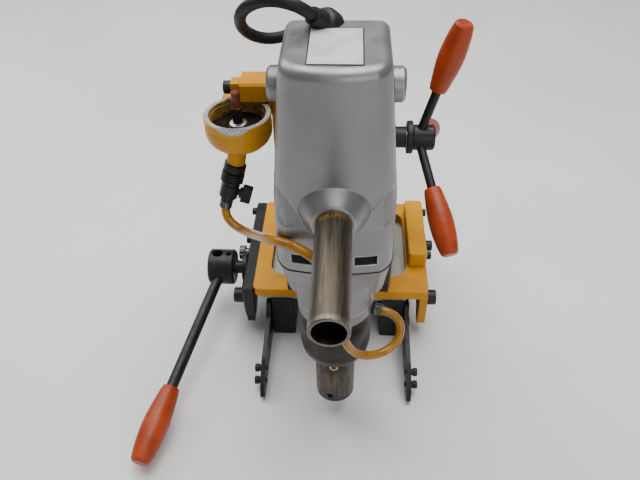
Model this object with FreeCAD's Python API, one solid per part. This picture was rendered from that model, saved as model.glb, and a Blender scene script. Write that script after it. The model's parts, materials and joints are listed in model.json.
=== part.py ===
# Magnetic-base drilling machine: two magnet rails, a swivelling cast frame, a column with a
# rack-and-pinion feed, and a motor head with its arbor and oil feed.
# Frame: +Z up, -Y towards the operator, +X to the operator's right.
# The origin is the middle of the magnet's resting face. Millimetres.

import FreeCAD, Part
import math
import os

V = FreeCAD.Vector
AXIS_X = V(1, 0, 0)
AXIS_Z = V(0, 0, 1)

# Magnet rails and the steel plate on them
POLE_X = (51.0, 78.0)
POLE_Y = (-82.0, 82.0)
POLE_HEIGHT = 61.0
POLE_CHAMFER = 1.5
COIL_POCKET_WALL = 5.0
COIL_POCKET_FLOOR = 20.0
COIL_CORE_WIDTH = 6.0
COIL_END_WALL = 16.0
COIL_DEPTH = 8.0
COIL_CLEARANCE = 0.4
PLATE_X = (-90.0, 80.0)
PLATE_Y = (-80.0, 80.0)
PLATE_THICK = 3.0
SWIVEL_PIN_R = 12.0
SWIVEL_PIN_HEIGHT = 20.5

# Guard brackets
BRACKET_THICK = 5.0
BRACKET_TIP_Y = -178.0
BRACKET_BOLT_YZ = (-70.0, 14.0)
THUMB_SCREWS_YZ = [(-151.0, 23.0), (-161.0, 14.0)]

# Cast frame that swivels on the plate
SWIVEL_GAP = 0.3
FRAME_X = (-98.0, 104.0)
FRAME_Y = (-80.0, 80.0)
FRAME_THICK = 11.0
FRAME_CORNER_R = 7.0
WINDOW_X = (-80.0, 80.0)
WINDOW_Y = (-55.0, 62.0)
WINDOW_CORNER_R = 17.0
RAIL_Y = (-38.0, 63.0)
RAIL_TOP_Z = 96.0
RAIL_WIDTH = 22.0
CHEEK_THICK = 9.0
CHEEK_DEPTH = 34.0
FINGER_TIP_Z = 17.0

# Side plate, clamp lever and stop knob on the left
SIDE_PLATE_THICK = 13.0
SIDE_PLATE_BACK_Y = 77.0
SIDE_PLATE_BOTTOM_Z = 38.0
LEVER_Y = -30.0
LEVER_Z = 61.0
LEVER_HUB_R = 21.5
LEVER_HUB_X = (-157.0, -126.0)
LEVER_SHAFT_R = 8.0
LEVER_ROD_R = 6.3
LEVER_SOCKET_DEPTH = 12.0
LEVER_GRIP_R = 14.0
LEVER_GRIP_LENGTH = 82.0
LEVER_TIP = V(-193.5, -266.0, 17.0)
STOP_KNOB_Y = -3.0
STOP_KNOB_Z = 60.0
STOP_KNOB_R = 9.0

# Column and its dovetail slide
COLUMN_HALF_WIDTH = 46.0
COLUMN_Y = (-79.7, 10.0)
COLUMN_TOP_Z = 350.0
FOOT_THICK = 12.0
CARRIAGE_BACK_Y = -80.0
DOVETAIL_ROOT_HALF = 22.0
DOVETAIL_DEPTH = 8.0
DOVETAIL_ANGLE = 30.0
SLIDE_FIT = 0.15
GIB_THICK = 4.0

# Feed: pinion, rack and three-spoked capstan
FEED_Y = -63.0
FEED_Z = 272.0
GEAR_MODULE = 1.5
PINION_TEETH = 14
PINION_HALF_WIDTH = 7.5
RACK_HALF_WIDTH = 8.0
RACK_Z = (192.0, 307.0)
RACK_BACK_Y = -83.0
TOOTH_BACKLASH = 0.3
FEED_SHAFT_R = 7.0
FEED_HUB_X = (64.0, 90.0)
FEED_HUB_R = 12.0
SPOKE_ROOT_X = 75.0
SPOKE_FIRST_ANGLE = 93.0
SPOKE_SPLAY = 13.5
SPOKE_R = 4.25
SPOKE_REACH = 117.0
FEED_GRIP_R = 11.5
FEED_GRIP_LENGTH = 64.0

# Control box behind the column
BOX_HALF_WIDTH = 42.0
BOX_Y = (10.0, 60.0)
BOX_Z = (118.0, 300.0)
BOX_WALL = 4.0
BUTTON_R = 9.0
BUTTON_X = 16.0
BUTTON_Z = 235.0
ROCKER_Z = 180.0
ROCKER_R = 13.0
ROCKER_HALF_WIDTH = 9.0
MAINS_Y = 38.0

# Head: axes and housing
ARBOR_Y = -175.0
MOTOR_Y = -160.0
COUNTER_Y = -135.0
HEAD_Y = (-215.0, -105.0)
HEAD_HALF_WIDTH = 47.0
HEAD_CORNER_R = 18.0
BAND_BOW = 4.0
BODY_BOW = 9.0
TOP_BOW = 4.5
FRONT_CORNER = (10.0, 17.0)
CORNER_BULGE = 2.5
BODY_HALF_WIDTH = 47.5
BODY_Y = (-213.0, -107.0)
TOP_HALF_WIDTH = 37.5
TOP_Y = (-210.0, -112.0)
GEAR_CASE_Z = (178.0, 240.0)
BAND_TOP_Z = 286.0
BODY_BOTTOM_Z = 302.0
SLOPE_BOTTOM_Z = 392.0
SLOPE_TOP_Y = -130.0
HOUSING_TOP_Z = 413.0
HOUSING_TOP_R = 8.0
HOUSING_WALL = 6.0
MOTOR_BORE_R = 38.0
BRUSH_Z = 379.0
BRUSH_CAP_R = 12.8
BRUSH_CAP_FACE_X = 49.5
VENT_X = (16.0, 34.0)
VENT_Z = (249.0, 258.5)
CARRIAGE_HALF_WIDTH = 56.0
CARRIAGE_Z = (152.0, 352.0)

# Nose, collar and arbor
NOSE_R = 34.0
NOSE_BOTTOM_Z = 115.0
COLLAR_R = 33.5
COLLAR_BOTTOM_Z = 88.0
ARBOR_R = 20.0
ARBOR_Z = (27.0, 112.0)
SHANK_BORE_R = 9.55
SHANK_BORE_DEPTH = 36.0
SPINDLE_R = 12.5
SPINDLE_TOP_Z = 208.0
RUNNING_GAP = 0.4
BEARING_R = 26.0
SET_SCREW_R = 4.0
SET_SCREWS = [(44.0, -104.0), (91.0, -95.0)]

# Front tube
TUBE_R = 13.6
TUBE_WALL = 2.3
TUBE_Z = 300.0
TUBE_Y = (-324.0, -202.0)
FAIRING_ROOT_Y = -206.0
FAIRING_FRONT_Y = -225.0
FAIRING_R = 29.5

# Oil cup, cock and hose
CUP_X = -81.0
CUP_Y = -127.5
CUP_RIM_Z = 335.0
CUP_HEIGHT = 20.0
CUP_R = 27.5
CUP_WALL = 4.3
CUP_FLOOR = 5.0
CUP_FLAT_TILT = -40.0
COCK_TOP = V(-86.2, -131.5, 289.0)
HOSE_R = 4.0
HOSE_ROUTE = [
    (-97.5, -137, 252), (-99.4, -137.9, 245.9), (-99.5, -140.3, 239.7), (-96.8, -144, 235),
    (-91, -149.3, 233), (-82, -158, 235), (-71, -172, 243), (-61, -188, 254.5), (-51.5, -204, 267),
    (-39.5, -214.5, 273.5), (-27, -222, 275), (-14, -228, 270), (-4, -230, 256), (1.5, -230, 236),
    (4.5, -229, 208), (7, -227, 180), (14, -224, 154), (27, -219, 139), (43, -211, 133),
    (56.5, -202.5, 136.5), (61.5, -195, 146), (59, -188.5, 156.5), (48.24, -185.18, 163.3),
    (36.5, -182.7, 163.3),
]

# Motor lead from the head to the column
LEAD_R = 4.4
LEAD_ROUTE = [
    (-17, -146, 423), (-22.2, -152.5, 429.8), (-31.5, -155, 435), (-43.5, -153.5, 436.5),
    (-55.5, -149, 433), (-65.5, -142, 425), (-70.5, -133, 414), (-69.5, -124.5, 403), (-63, -116, 394),
    (-53, -109, 389), (-42, -101, 387.5), (-33, -90, 388), (-27.5, -78, 386), (-25.3, -68, 380),
    (-25, -61.6, 369.8), (-25, -60.5, 359.3),
]
BOOT_LENGTH = 24.0


# Shapes

def grow(span, by):
    """A range made longer at both ends."""
    return (span[0] - by, span[1] + by)


def box(x_range, y_range, z_range):
    """A block between two corners."""
    corner = V(x_range[0], y_range[0], z_range[0])
    return Part.makeBox(x_range[1] - x_range[0], y_range[1] - y_range[0], z_range[1] - z_range[0], corner)


def rod(radius, start, end):
    """A round bar between two points."""
    start = V(*start)
    line = V(*end) - start
    return Part.makeCylinder(radius, line.Length, start, line)


def upright(radius, y, z_range):
    """A vertical round bar on the middle plane."""
    return rod(radius, (0, y, z_range[0]), (0, y, z_range[1]))


def rounded_wire(x_range, y_range, z, radius):
    """A level rectangle with round corners."""
    x0, x1 = x_range
    y0, y1 = y_range
    corners = [(x1 - radius, y1 - radius, 0), (x0 + radius, y1 - radius, 90),
               (x0 + radius, y0 + radius, 180), (x1 - radius, y0 + radius, 270)]
    points = []
    for cx, cy, first in corners:
        for turn in (0, 45, 90):
            angle = math.radians(first + turn)
            points.append(V(cx + radius * math.cos(angle), cy + radius * math.sin(angle), z))
    edges = []
    for i in range(4):
        start, middle, end = points[3 * i:3 * i + 3]
        edges.append(Part.Arc(start, middle, end).toShape())
        edges.append(Part.LineSegment(end, points[(3 * i + 3) % 12]).toShape())
    return Part.Wire(edges)


def rounded_block(x_range, y_range, z_range, radius):
    """An upright block with round vertical edges."""
    face = Part.Face(rounded_wire(x_range, y_range, z_range[0], radius))
    return face.extrude(V(0, 0, z_range[1] - z_range[0]))


def prism(points, sweep):
    """A flat outline swept along a straight line."""
    corners = [V(*p) for p in points]
    return Part.Face(Part.makePolygon(corners + corners[:1])).extrude(V(*sweep))


def turned(profile, origin, direction):
    """A turned piece: (radius, height) points round an axis through origin."""
    corners = [V(r, 0, h) for r, h in profile]
    solid = Part.Face(Part.makePolygon(corners + corners[:1])).revolve(V(0, 0, 0), AXIS_Z, 360)
    solid.Placement = FreeCAD.Placement(V(*origin), FreeCAD.Rotation(AXIS_Z, V(*direction)))
    return solid


def mirrored(shape):
    """The same piece on the other side of the middle plane."""
    return shape.mirror(V(0, 0, 0), AXIS_X)


def fused(shapes):
    """One solid from touching shapes, with the seams between coplanar faces removed."""
    return shapes[0].multiFuse(shapes[1:]).removeSplitter()


def without(shape, tools):
    """A shape with several others cut out of it."""
    for tool in tools:
        shape = shape.cut(tool)
    return shape


class Screw:
    """A socket-head screw of one size."""

    def __init__(self, head_r, head_h, shank_r, shank_l):
        self.head_r = head_r
        self.head_h = head_h
        self.shank_r = shank_r
        self.shank_l = shank_l

    def solid(self, seat, inward):
        """The screw with its head on seat. inward points from the head into the work."""
        socket_r = self.head_r * 0.5
        socket_z = self.head_h * 0.45
        profile = [(0, -self.shank_l), (self.shank_r, -self.shank_l), (self.shank_r, 0), (self.head_r, 0),
                   (self.head_r, self.head_h - 0.6), (self.head_r - 0.6, self.head_h),
                   (socket_r, self.head_h), (socket_r, socket_z), (0, socket_z)]
        return turned(profile, seat, V(*inward) * -1)

    def hole(self, seat, inward):
        """The hole that the shank fills."""
        return rod(self.shank_r + 0.05, seat, V(*seat) + V(*inward) * (self.shank_l + 0.5))


def tube_path(route):
    """Straight runs joined by tangent arcs as large as the runs allow. Returns the wire and its radii."""
    points = [V(*p) for p in route]
    edges = []
    radii = []
    last = points[0]
    for before, corner, after in zip(points, points[1:], points[2:]):
        to_start = (before - corner).normalize()
        to_end = (after - corner).normalize()
        turn = math.pi - to_start.getAngle(to_end)
        reach = 0.45 * min((before - corner).Length, (after - corner).Length)
        radius = reach / math.tan(turn / 2)
        start = corner + to_start * reach
        end = corner + to_end * reach
        middle = corner + (to_start + to_end).normalize() * (radius / math.cos(turn / 2) - radius)
        edges.append(Part.LineSegment(last, start).toShape())
        edges.append(Part.Arc(start, middle, end).toShape())
        radii.append(radius)
        last = end
    edges.append(Part.LineSegment(last, points[-1]).toShape())
    return Part.Wire(edges), radii


def swept_tube(route, radius, name):
    """A round solid along a route. Prints its radii and compares its volume with section times length."""
    path, radii = tube_path(route)
    first = V(*route[0])
    section = Part.Wire([Part.Circle(first, V(*route[1]) - first, radius).toShape()])
    solid = path.makePipeShell([section], True, False)
    ratio = solid.Volume / (math.pi * radius ** 2 * path.Length)
    print(name, "length %.1f" % path.Length, "volume ratio %.4f" % ratio)
    print(name, "radii", " ".join("%.0f" % r for r in radii))
    return solid


# Magnet

PLATE_Z = (POLE_HEIGHT, POLE_HEIGHT + PLATE_THICK)
POCKET_X = grow(POLE_X, -COIL_POCKET_WALL)
POCKET_Y = grow(POLE_Y, -COIL_END_WALL)
POLE_MIDDLE_X = sum(POLE_X) / 2
CORE_X = (POLE_MIDDLE_X - COIL_CORE_WIDTH / 2, POLE_MIDDLE_X + COIL_CORE_WIDTH / 2)
CORE_Y = grow(POCKET_Y, -COIL_DEPTH)
BRACKET_BOLT = Screw(6.5, 4.0, 4.0, 16.0)
BRACKET_BOLT_SEAT = (POLE_X[1] + BRACKET_THICK,) + BRACKET_BOLT_YZ
THUMB_SCREW_R = 2.5


def magnet_pole():
    """The right rail: a steel block with a pocket for its coil round a core."""
    pole = box(POLE_X, POLE_Y, (0, POLE_HEIGHT))
    corners = [e for e in pole.Edges if e.BoundBox.ZLength > POLE_HEIGHT / 2]
    pole = pole.makeChamfer(POLE_CHAMFER, corners)
    pocket = rounded_block(POCKET_X, POCKET_Y, (COIL_POCKET_FLOOR, POLE_HEIGHT), 5.0)
    core = rounded_block(CORE_X, CORE_Y, (COIL_POCKET_FLOOR, POLE_HEIGHT), 2.5)
    return without(pole, [pocket.cut(core), BRACKET_BOLT.hole(BRACKET_BOLT_SEAT, (-1, 0, 0))])


def magnet_coil():
    """The right winding, a racetrack that fills the pocket."""
    height = (COIL_POCKET_FLOOR + COIL_CLEARANCE, POLE_HEIGHT - 3)
    outer = rounded_block(grow(POCKET_X, -COIL_CLEARANCE), grow(POCKET_Y, -COIL_CLEARANCE), height, 4.6)
    inner = rounded_block(grow(CORE_X, COIL_CLEARANCE), grow(CORE_Y, COIL_CLEARANCE), height, 2.9)
    return outer.cut(inner)


def swivel_plate():
    """The machined steel plate across the rails."""
    plate = rounded_block(PLATE_X, PLATE_Y, PLATE_Z, 4.0)
    return plate.cut(upright(SWIVEL_PIN_R, 0, grow(PLATE_Z, 1)))


def swivel_pin():
    """The headed pin that the frame turns on."""
    top = SWIVEL_PIN_HEIGHT
    profile = [(0, -7), (17, -7), (18, -6), (18, 0), (SWIVEL_PIN_R, 0), (SWIVEL_PIN_R, top - 1.5),
               (SWIVEL_PIN_R - 1.5, top), (0, top)]
    return turned(profile, (0, 0, PLATE_Z[0]), AXIS_Z)


def guard_bracket():
    """The right bracket: a flat bar along the rail that reaches forward to the arbor."""
    x0 = POLE_X[1]
    x1 = x0 + BRACKET_THICK
    tip = BRACKET_TIP_Y
    outline = [(x0, -48, 5), (x0, -48, 56), (x0, -84, 56), (x0, -92, 40), (x0, -146, 33),
               (x0, tip + 8, 20), (x0, tip, 6), (x0, tip + 3, 2.5), (x0, -100, 5)]
    bar = prism(outline, (BRACKET_THICK, 0, 0))
    holes = [rod(THUMB_SCREW_R + 0.05, (x0 - 1, y, z), (x1 + 1, y, z)) for y, z in THUMB_SCREWS_YZ]
    return without(bar, holes + [BRACKET_BOLT.hole(BRACKET_BOLT_SEAT, (-1, 0, 0))])


def thumb_screws():
    """The right pair of guard screws."""
    profile = [(0, -7), (THUMB_SCREW_R, -7), (THUMB_SCREW_R, 0), (3.6, 0), (3.6, 2), (4.6, 2.4), (4.6, 6.5),
               (3.8, 7.2), (0, 7.2)]
    return [turned(profile, (POLE_X[1] + BRACKET_THICK, y, z), AXIS_X) for y, z in THUMB_SCREWS_YZ]


# Frame

FRAME_Z = (PLATE_Z[1] + SWIVEL_GAP, PLATE_Z[1] + SWIVEL_GAP + FRAME_THICK)
RAIL_X = (FRAME_X[1] - RAIL_WIDTH, FRAME_X[1])
CHEEK_X = (FRAME_X[1] - CHEEK_THICK, FRAME_X[1])
CHEEK_Y = (FRAME_Y[0], FRAME_Y[0] + CHEEK_DEPTH)
SIDE_PLATE_X = (FRAME_X[0] - SIDE_PLATE_THICK, FRAME_X[0])
FOOT_Z = (FRAME_Z[1], FRAME_Z[1] + FOOT_THICK)
BIG_SCREW = Screw(9.0, 12.0, 5.5, 9.0)
MID_SCREW = Screw(6.5, 8.0, 4.0, 11.0)
SMALL_SCREW = Screw(4.8, 5.5, 3.0, 10.0)
PLATE_SCREW = Screw(4.8, 5.5, 3.0, 20.0)
FOOT_SCREW = Screw(5.0, 6.0, 3.0, 20.0)
RIGHT_SCREWS = [(BIG_SCREW, -60.0, 47.0), (MID_SCREW, -10.0, 84.0), (SMALL_SCREW, -27.0, 84.0),
                (SMALL_SCREW, 52.0, 84.0)]
LEFT_SCREWS = [(BIG_SCREW, -66.0, 50.0), (PLATE_SCREW, 10.0, 70.0), (PLATE_SCREW, 66.0, 70.0)]
FOOT_SCREWS_XY = [(-52.3, -62.0), (52.3, -62.0), (-52.0, 71.0), (52.0, 71.0)]
RIGHT_SEATS = [(size, (FRAME_X[1], y, z)) for size, y, z in RIGHT_SCREWS]
LEFT_SEATS = [(size, (SIDE_PLATE_X[0], y, z)) for size, y, z in LEFT_SCREWS]
FOOT_SEATS = [(FOOT_SCREW, (x, y, FOOT_Z[1])) for x, y in FOOT_SCREWS_XY]


def base_frame():
    """The casting: a level ring with a raised rail and a stop cheek on its right."""
    plate = rounded_block(FRAME_X, FRAME_Y, FRAME_Z, FRAME_CORNER_R)
    window = rounded_block(WINDOW_X, WINDOW_Y, grow(FRAME_Z, 1), WINDOW_CORNER_R)
    rail = rounded_block(RAIL_X, RAIL_Y, (FRAME_Z[0], RAIL_TOP_Z), 4.0)
    rail = rail.makeFillet(2.5, [e for e in rail.Edges if e.BoundBox.ZMin > RAIL_TOP_Z - 0.1])
    x0 = CHEEK_X[0]
    root_z = FRAME_Z[0] + 2
    cheek = prism([(x0, CHEEK_Y[0] + 1, root_z), (x0, CHEEK_Y[0] + 1, FINGER_TIP_Z + 5),
                   (x0, CHEEK_Y[0] + 6, FINGER_TIP_Z), (x0, CHEEK_Y[0] + 17, FINGER_TIP_Z),
                   (x0, CHEEK_Y[1], 36), (x0, CHEEK_Y[1] + 12, root_z)], (CHEEK_THICK, 0, 0))
    casting = fused([plate, rail, cheek])
    holes = [size.hole(seat, (-1, 0, 0)) for size, seat in RIGHT_SEATS]
    holes += [size.hole(seat, (0, 0, -1)) for size, seat in FOOT_SEATS]
    holes += [size.hole(seat, (1, 0, 0)) for size, seat in LEFT_SEATS[1:]]
    return without(casting, [window.cut(rail)] + holes)


def side_plate():
    """The black plate on the left flank, with the stop finger at its front and the lever's bore."""
    bar = box(SIDE_PLATE_X, (FRAME_Y[0], SIDE_PLATE_BACK_Y), (SIDE_PLATE_BOTTOM_Z, FRAME_Z[1] + 0.5))
    bar = bar.makeChamfer(2.0, [e for e in bar.Edges if e.BoundBox.XMax < SIDE_PLATE_X[0] + 0.1])
    root = Part.makePolygon([V(x, y, SIDE_PLATE_BOTTOM_Z) for x, y in
                             ((-110, -80), (-98, -80), (-98, -48), (-110, -48), (-110, -80))])
    tip = Part.makePolygon([V(x, y, FINGER_TIP_Z) for x, y in
                            ((-108, -78), (-100, -78), (-100, -60), (-108, -60), (-108, -78))])
    finger = Part.makeLoft([root, tip], True, True)
    axis = [(x, LEVER_Y, LEVER_Z) for x in (SIDE_PLATE_X[0] - 5, SIDE_PLATE_X[0], SIDE_PLATE_X[1] - 2)]
    boss = rod(17.0, axis[0], axis[1])
    knob_bore = rod(4.05, (SIDE_PLATE_X[0] - 1, STOP_KNOB_Y, STOP_KNOB_Z),
                    (SIDE_PLATE_X[1] - 2, STOP_KNOB_Y, STOP_KNOB_Z))
    shaft_bore = rod(LEVER_SHAFT_R + 0.05, axis[0], axis[2])
    holes = [size.hole(seat, (1, 0, 0)) for size, seat in LEFT_SEATS]
    return without(fused([bar, finger, boss]), [shaft_bore, knob_bore] + holes)


def flank_screws():
    """The screws in both flanks of the frame."""
    right = [size.solid(seat, (-1, 0, 0)) for size, seat in RIGHT_SEATS]
    return right + [size.solid(seat, (1, 0, 0)) for size, seat in LEFT_SEATS]


def stop_knob():
    """The knurled swivel-stop knob on the side plate."""
    face_x = SIDE_PLATE_X[0]
    profile = [(0, -10), (4, -10), (4, 0), (4, 0.4), (5.5, 0.4), (5.5, 6), (STOP_KNOB_R - 0.8, 6),
               (STOP_KNOB_R, 6.8), (STOP_KNOB_R, 12.7), (STOP_KNOB_R - 0.8, 13.5), (0, 13.5)]
    knob = turned(profile, (face_x, STOP_KNOB_Y, STOP_KNOB_Z), (-1, 0, 0))
    grooves = []
    for i in range(12):
        angle = 2 * math.pi * i / 12
        y = STOP_KNOB_Y + (STOP_KNOB_R + 0.5) * math.cos(angle)
        z = STOP_KNOB_Z + (STOP_KNOB_R + 0.5) * math.sin(angle)
        grooves.append(rod(1.2, (face_x - 15, y, z), (face_x - 5, y, z)))
    return without(knob, grooves)


# Clamp lever

LEVER_MIDDLE = V(sum(LEVER_HUB_X) / 2, LEVER_Y, LEVER_Z)
LEVER_LINE = (LEVER_TIP - LEVER_MIDDLE).normalize()
LEVER_ROOT = LEVER_MIDDLE + LEVER_LINE * (LEVER_HUB_R - LEVER_SOCKET_DEPTH)
LEVER_GRIP_START = LEVER_TIP - LEVER_LINE * LEVER_GRIP_LENGTH
SPARE_SOCKET_TURN = -105.0


def grip_profile(radius, length, bore_r):
    """A hand grip: slim at the rod, fullest past its middle, flat at the tip and bored to half its length."""
    shape = [(0.66, 0), (0.74, 0.06), (0.88, 0.25), (0.98, 0.42), (1, 0.55), (0.95, 0.7), (0.84, 0.86),
             (0.7, 0.97), (0.56, 1)]
    outside = [(radius * r, length * along) for r, along in shape]
    return [(bore_r, 0)] + outside + [(0, length), (0, length / 2), (bore_r, length / 2)]


def lever_hub():
    """The hub with its shaft, its rod socket and the spare socket on top."""
    half = (LEVER_HUB_X[1] - LEVER_HUB_X[0]) / 2
    shaft_end = LEVER_MIDDLE.x - (SIDE_PLATE_X[1] - 2.5)
    profile = [(0, shaft_end), (LEVER_SHAFT_R, shaft_end), (LEVER_SHAFT_R, -half), (LEVER_HUB_R - 2, -half),
               (LEVER_HUB_R, 2 - half), (LEVER_HUB_R, half - 2), (LEVER_HUB_R - 2, half), (0, half)]
    hub = turned(profile, LEVER_MIDDLE, (-1, 0, 0))
    spare = FreeCAD.Rotation(AXIS_X, SPARE_SOCKET_TURN).multVec(LEVER_LINE)
    spare_root = LEVER_MIDDLE + spare * (LEVER_HUB_R - LEVER_SOCKET_DEPTH)
    lock = LEVER_MIDDLE + V(9, 0, LEVER_HUB_R - 5)
    sockets = [rod(LEVER_ROD_R, LEVER_ROOT, LEVER_TIP), rod(LEVER_ROD_R, spare_root, spare_root + spare * 30)]
    return without(hub, sockets + [rod(3.2, lock, lock + V(0, 0, 8))])


def lever_rod():
    """The long rod, screwed into the hub and the grip."""
    return rod(LEVER_ROD_R, LEVER_ROOT, LEVER_GRIP_START + LEVER_LINE * (LEVER_GRIP_LENGTH / 2))


def lever_grip():
    """The grip of the clamp lever."""
    return turned(grip_profile(LEVER_GRIP_R, LEVER_GRIP_LENGTH, LEVER_ROD_R), LEVER_GRIP_START, LEVER_LINE)


# Column

COLUMN_Z = (FOOT_Z[1], COLUMN_TOP_Z)
TAIL_BACK_Y = CARRIAGE_BACK_Y + DOVETAIL_DEPTH
LEAD_END = V(*LEAD_ROUTE[-1])
LEAD_BORE_R = 5.0


def dovetail(right, left, back_y, z_range):
    """A tail swept up, from the carriage's back face to back_y, with its root half-widths right and left."""
    widen = (back_y - CARRIAGE_BACK_Y) * math.tan(math.radians(DOVETAIL_ANGLE))
    z0 = z_range[0]
    outline = [(-left, CARRIAGE_BACK_Y, z0), (right, CARRIAGE_BACK_Y, z0), (right + widen, back_y, z0),
               (-left - widen, back_y, z0)]
    return prism(outline, (0, 0, z_range[1] - z0))


def column():
    """The casting: foot, hollow box column, dovetail ways and the bores of the feed shaft."""
    half = COLUMN_HALF_WIDTH
    body = rounded_block((-half, half), COLUMN_Y, COLUMN_Z, 9.0)
    square_front = box((-half, half), (COLUMN_Y[0], COLUMN_Y[0] + 20), COLUMN_Z)
    z0 = FOOT_Z[0]
    foot = prism([(-57, -79, z0), (57, -79, z0), (62, -45, z0), (68, 10, z0), (66, 79, z0), (-66, 79, z0),
                  (-74, 10, z0), (-62, -45, z0)], (0, 0, FOOT_THICK))
    boss = upright(26, 0, (PLATE_Z[1] + 1, FOOT_Z[0]))
    back = COLUMN_Y[1]
    ribs = []
    for x in (-40, 32):
        ribs.append(prism([(x, back - 1, FOOT_Z[1]), (x, 60, FOOT_Z[1]), (x, back - 1, 112)], (8, 0, 0)))
    casting = fused([body, square_front, foot, boss] + ribs)
    core = rounded_block((11 - half, half - 11), (-42, back - 9), (FOOT_Z[1] + 6, COLUMN_TOP_Z - 10), 8.0)
    reach = DOVETAIL_ROOT_HALF + SLIDE_FIT
    way = dovetail(reach, reach + GIB_THICK, TAIL_BACK_Y + 0.6, grow(COLUMN_Z, 1))
    room = PINION_HALF_WIDTH + 1
    pinion_room = rod(13.0, (-room, FEED_Y, FEED_Z), (room, FEED_Y, FEED_Z))
    shaft_bore = rod(FEED_SHAFT_R + 0.05, (-32, FEED_Y, FEED_Z), (half + 1, FEED_Y, FEED_Z))
    pin_bore = upright(SWIVEL_PIN_R + 0.05, 0, (PLATE_Z[1], PLATE_Z[0] + SWIVEL_PIN_HEIGHT + 1))
    lead_turn = V(LEAD_END.x, LEAD_END.y, COLUMN_TOP_Z - 20)
    lead_bores = [rod(LEAD_BORE_R, lead_turn, lead_turn + V(*way_in)) for way_in in ((0, 0, 22), (0, 25, 0))]
    holes = [size.hole(seat, (0, 0, -1)) for size, seat in FOOT_SEATS]
    return without(casting, [core, way, pinion_room, shaft_bore, pin_bore] + lead_bores + holes)


def gib():
    """The strip that takes up play on the left way."""
    z_range = (COLUMN_Z[0], COLUMN_Z[1] - 1)
    left = DOVETAIL_ROOT_HALF + SLIDE_FIT
    strip = dovetail(0, left + GIB_THICK, TAIL_BACK_Y, z_range).cut(dovetail(1, left, TAIL_BACK_Y, z_range))
    return strip.common(box((-60, 0), (COLUMN_Y[0], TAIL_BACK_Y), z_range))


def foot_screws():
    """The four screws that hold the column on the frame."""
    return [size.solid(seat, (0, 0, -1)) for size, seat in FOOT_SEATS]


def lead_gland():
    """The gland where the motor lead goes into the column's top."""
    profile = [(LEAD_BORE_R, 0), (8.5, 0), (8.5, 4), (7.2, 4.5), (6.4, 9), (LEAD_BORE_R, 9)]
    return turned(profile, (LEAD_END.x, LEAD_END.y, COLUMN_TOP_Z), AXIS_Z)


def feed_flange():
    """The bearing flange of the feed shaft on the column's right side."""
    plate = rounded_block((-21, 21), (-14, 18), (0, 6), 5.0)
    plate.Placement = FreeCAD.Placement(V(COLUMN_HALF_WIDTH, FEED_Y, FEED_Z),
                                        FreeCAD.Rotation(V(0, 0, -1), AXIS_Z, AXIS_X, "ZXY"))
    boss = rod(10.0, (COLUMN_HALF_WIDTH + 5, FEED_Y, FEED_Z), (FEED_HUB_X[0] - 1, FEED_Y, FEED_Z))
    bore = rod(FEED_SHAFT_R + 0.05, (COLUMN_HALF_WIDTH - 1, FEED_Y, FEED_Z), (FEED_HUB_X[0], FEED_Y, FEED_Z))
    return fused([plate, boss]).cut(bore)


# Control box

BOX_SCREW = Screw(3.5, 3.0, 2.0, 8.0)
BOX_SCREW_X = BOX_HALF_WIDTH - 6.5
BOX_SEATS = [(BOX_SCREW, (x, BOX_Y[1], z)) for x in (-BOX_SCREW_X, BOX_SCREW_X) for z in grow(BOX_Z, -8)]
MAINS_R = 6.5


def control_box():
    """The switch box on the back of the column."""
    half = BOX_HALF_WIDTH
    shell = rounded_block((-half, half), BOX_Y, BOX_Z, 5.0)
    square_front = box((-half, half), (BOX_Y[0], BOX_Y[0] + 8), BOX_Z)
    room = rounded_block((BOX_WALL - half, half - BOX_WALL), (BOX_Y[0] - 10, BOX_Y[1] - BOX_WALL),
                         grow(BOX_Z, -BOX_WALL), 4.0)
    posts = [rod(5.0, seat, V(*seat) + V(0, -20, 0)) for size, seat in BOX_SEATS]
    shell = fused([fused([shell, square_front]).cut(room)] + posts)
    wall = (BOX_Y[1] - 10, BOX_Y[1] + 5)
    holes = []
    for x in (-BUTTON_X, BUTTON_X):
        holes.append(rod(BUTTON_R + 0.35, (x, wall[0], BUTTON_Z), (x, wall[1], BUTTON_Z)))
    holes.append(box(grow((-ROCKER_HALF_WIDTH, ROCKER_HALF_WIDTH), 0.4), wall,
                     grow((ROCKER_Z - ROCKER_R, ROCKER_Z + ROCKER_R), 0.4)))
    holes.append(upright(MAINS_R + 0.05, MAINS_Y, (BOX_Z[0] - 1, BOX_Z[0] + BOX_WALL + 1)))
    return without(shell, holes + [size.hole(seat, (0, -1, 0)) for size, seat in BOX_SEATS])


def box_screws():
    """The four cover screws of the switch box."""
    return [size.solid(seat, (0, -1, 0)) for size, seat in BOX_SEATS]


def push_button(x):
    """A push button held behind the box wall by its flange."""
    profile = [(0, -9), (10.8, -9), (10.8, -4.4), (BUTTON_R, -4.4), (BUTTON_R, 3.2),
               (BUTTON_R - 0.8, 4), (0, 4)]
    return turned(profile, (x, BOX_Y[1], BUTTON_Z), (0, 1, 0))


def magnet_rocker():
    """The magnet's rocker switch, round about its pivot with a shallow vee in its face."""
    pivot_y = BOX_Y[1] - 6
    half = ROCKER_HALF_WIDTH
    drum = rod(ROCKER_R, (-half, pivot_y, ROCKER_Z), (half, pivot_y, ROCKER_Z))
    z_range = (ROCKER_Z - ROCKER_R, ROCKER_Z + ROCKER_R)
    body = drum.common(box((-half, half), (pivot_y - 4, BOX_Y[1] + 3.5), z_range))
    vee = prism([(-half, BOX_Y[1] + 1.2, ROCKER_Z), (-half, BOX_Y[1] + 8, ROCKER_Z + 20),
                 (-half, BOX_Y[1] + 8, ROCKER_Z - 20)], (2 * half, 0, 0))
    return body.cut(vee)


def mains_gland():
    """The gland for the mains cord, under the switch box."""
    profile = [(3.5, -16), (6, -16), (7, -6), (9, -5), (9, 0), (MAINS_R, 0), (MAINS_R, 6), (3.5, 6)]
    return turned(profile, (0, MAINS_Y, BOX_Z[0]), AXIS_Z)


# Feed

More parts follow.
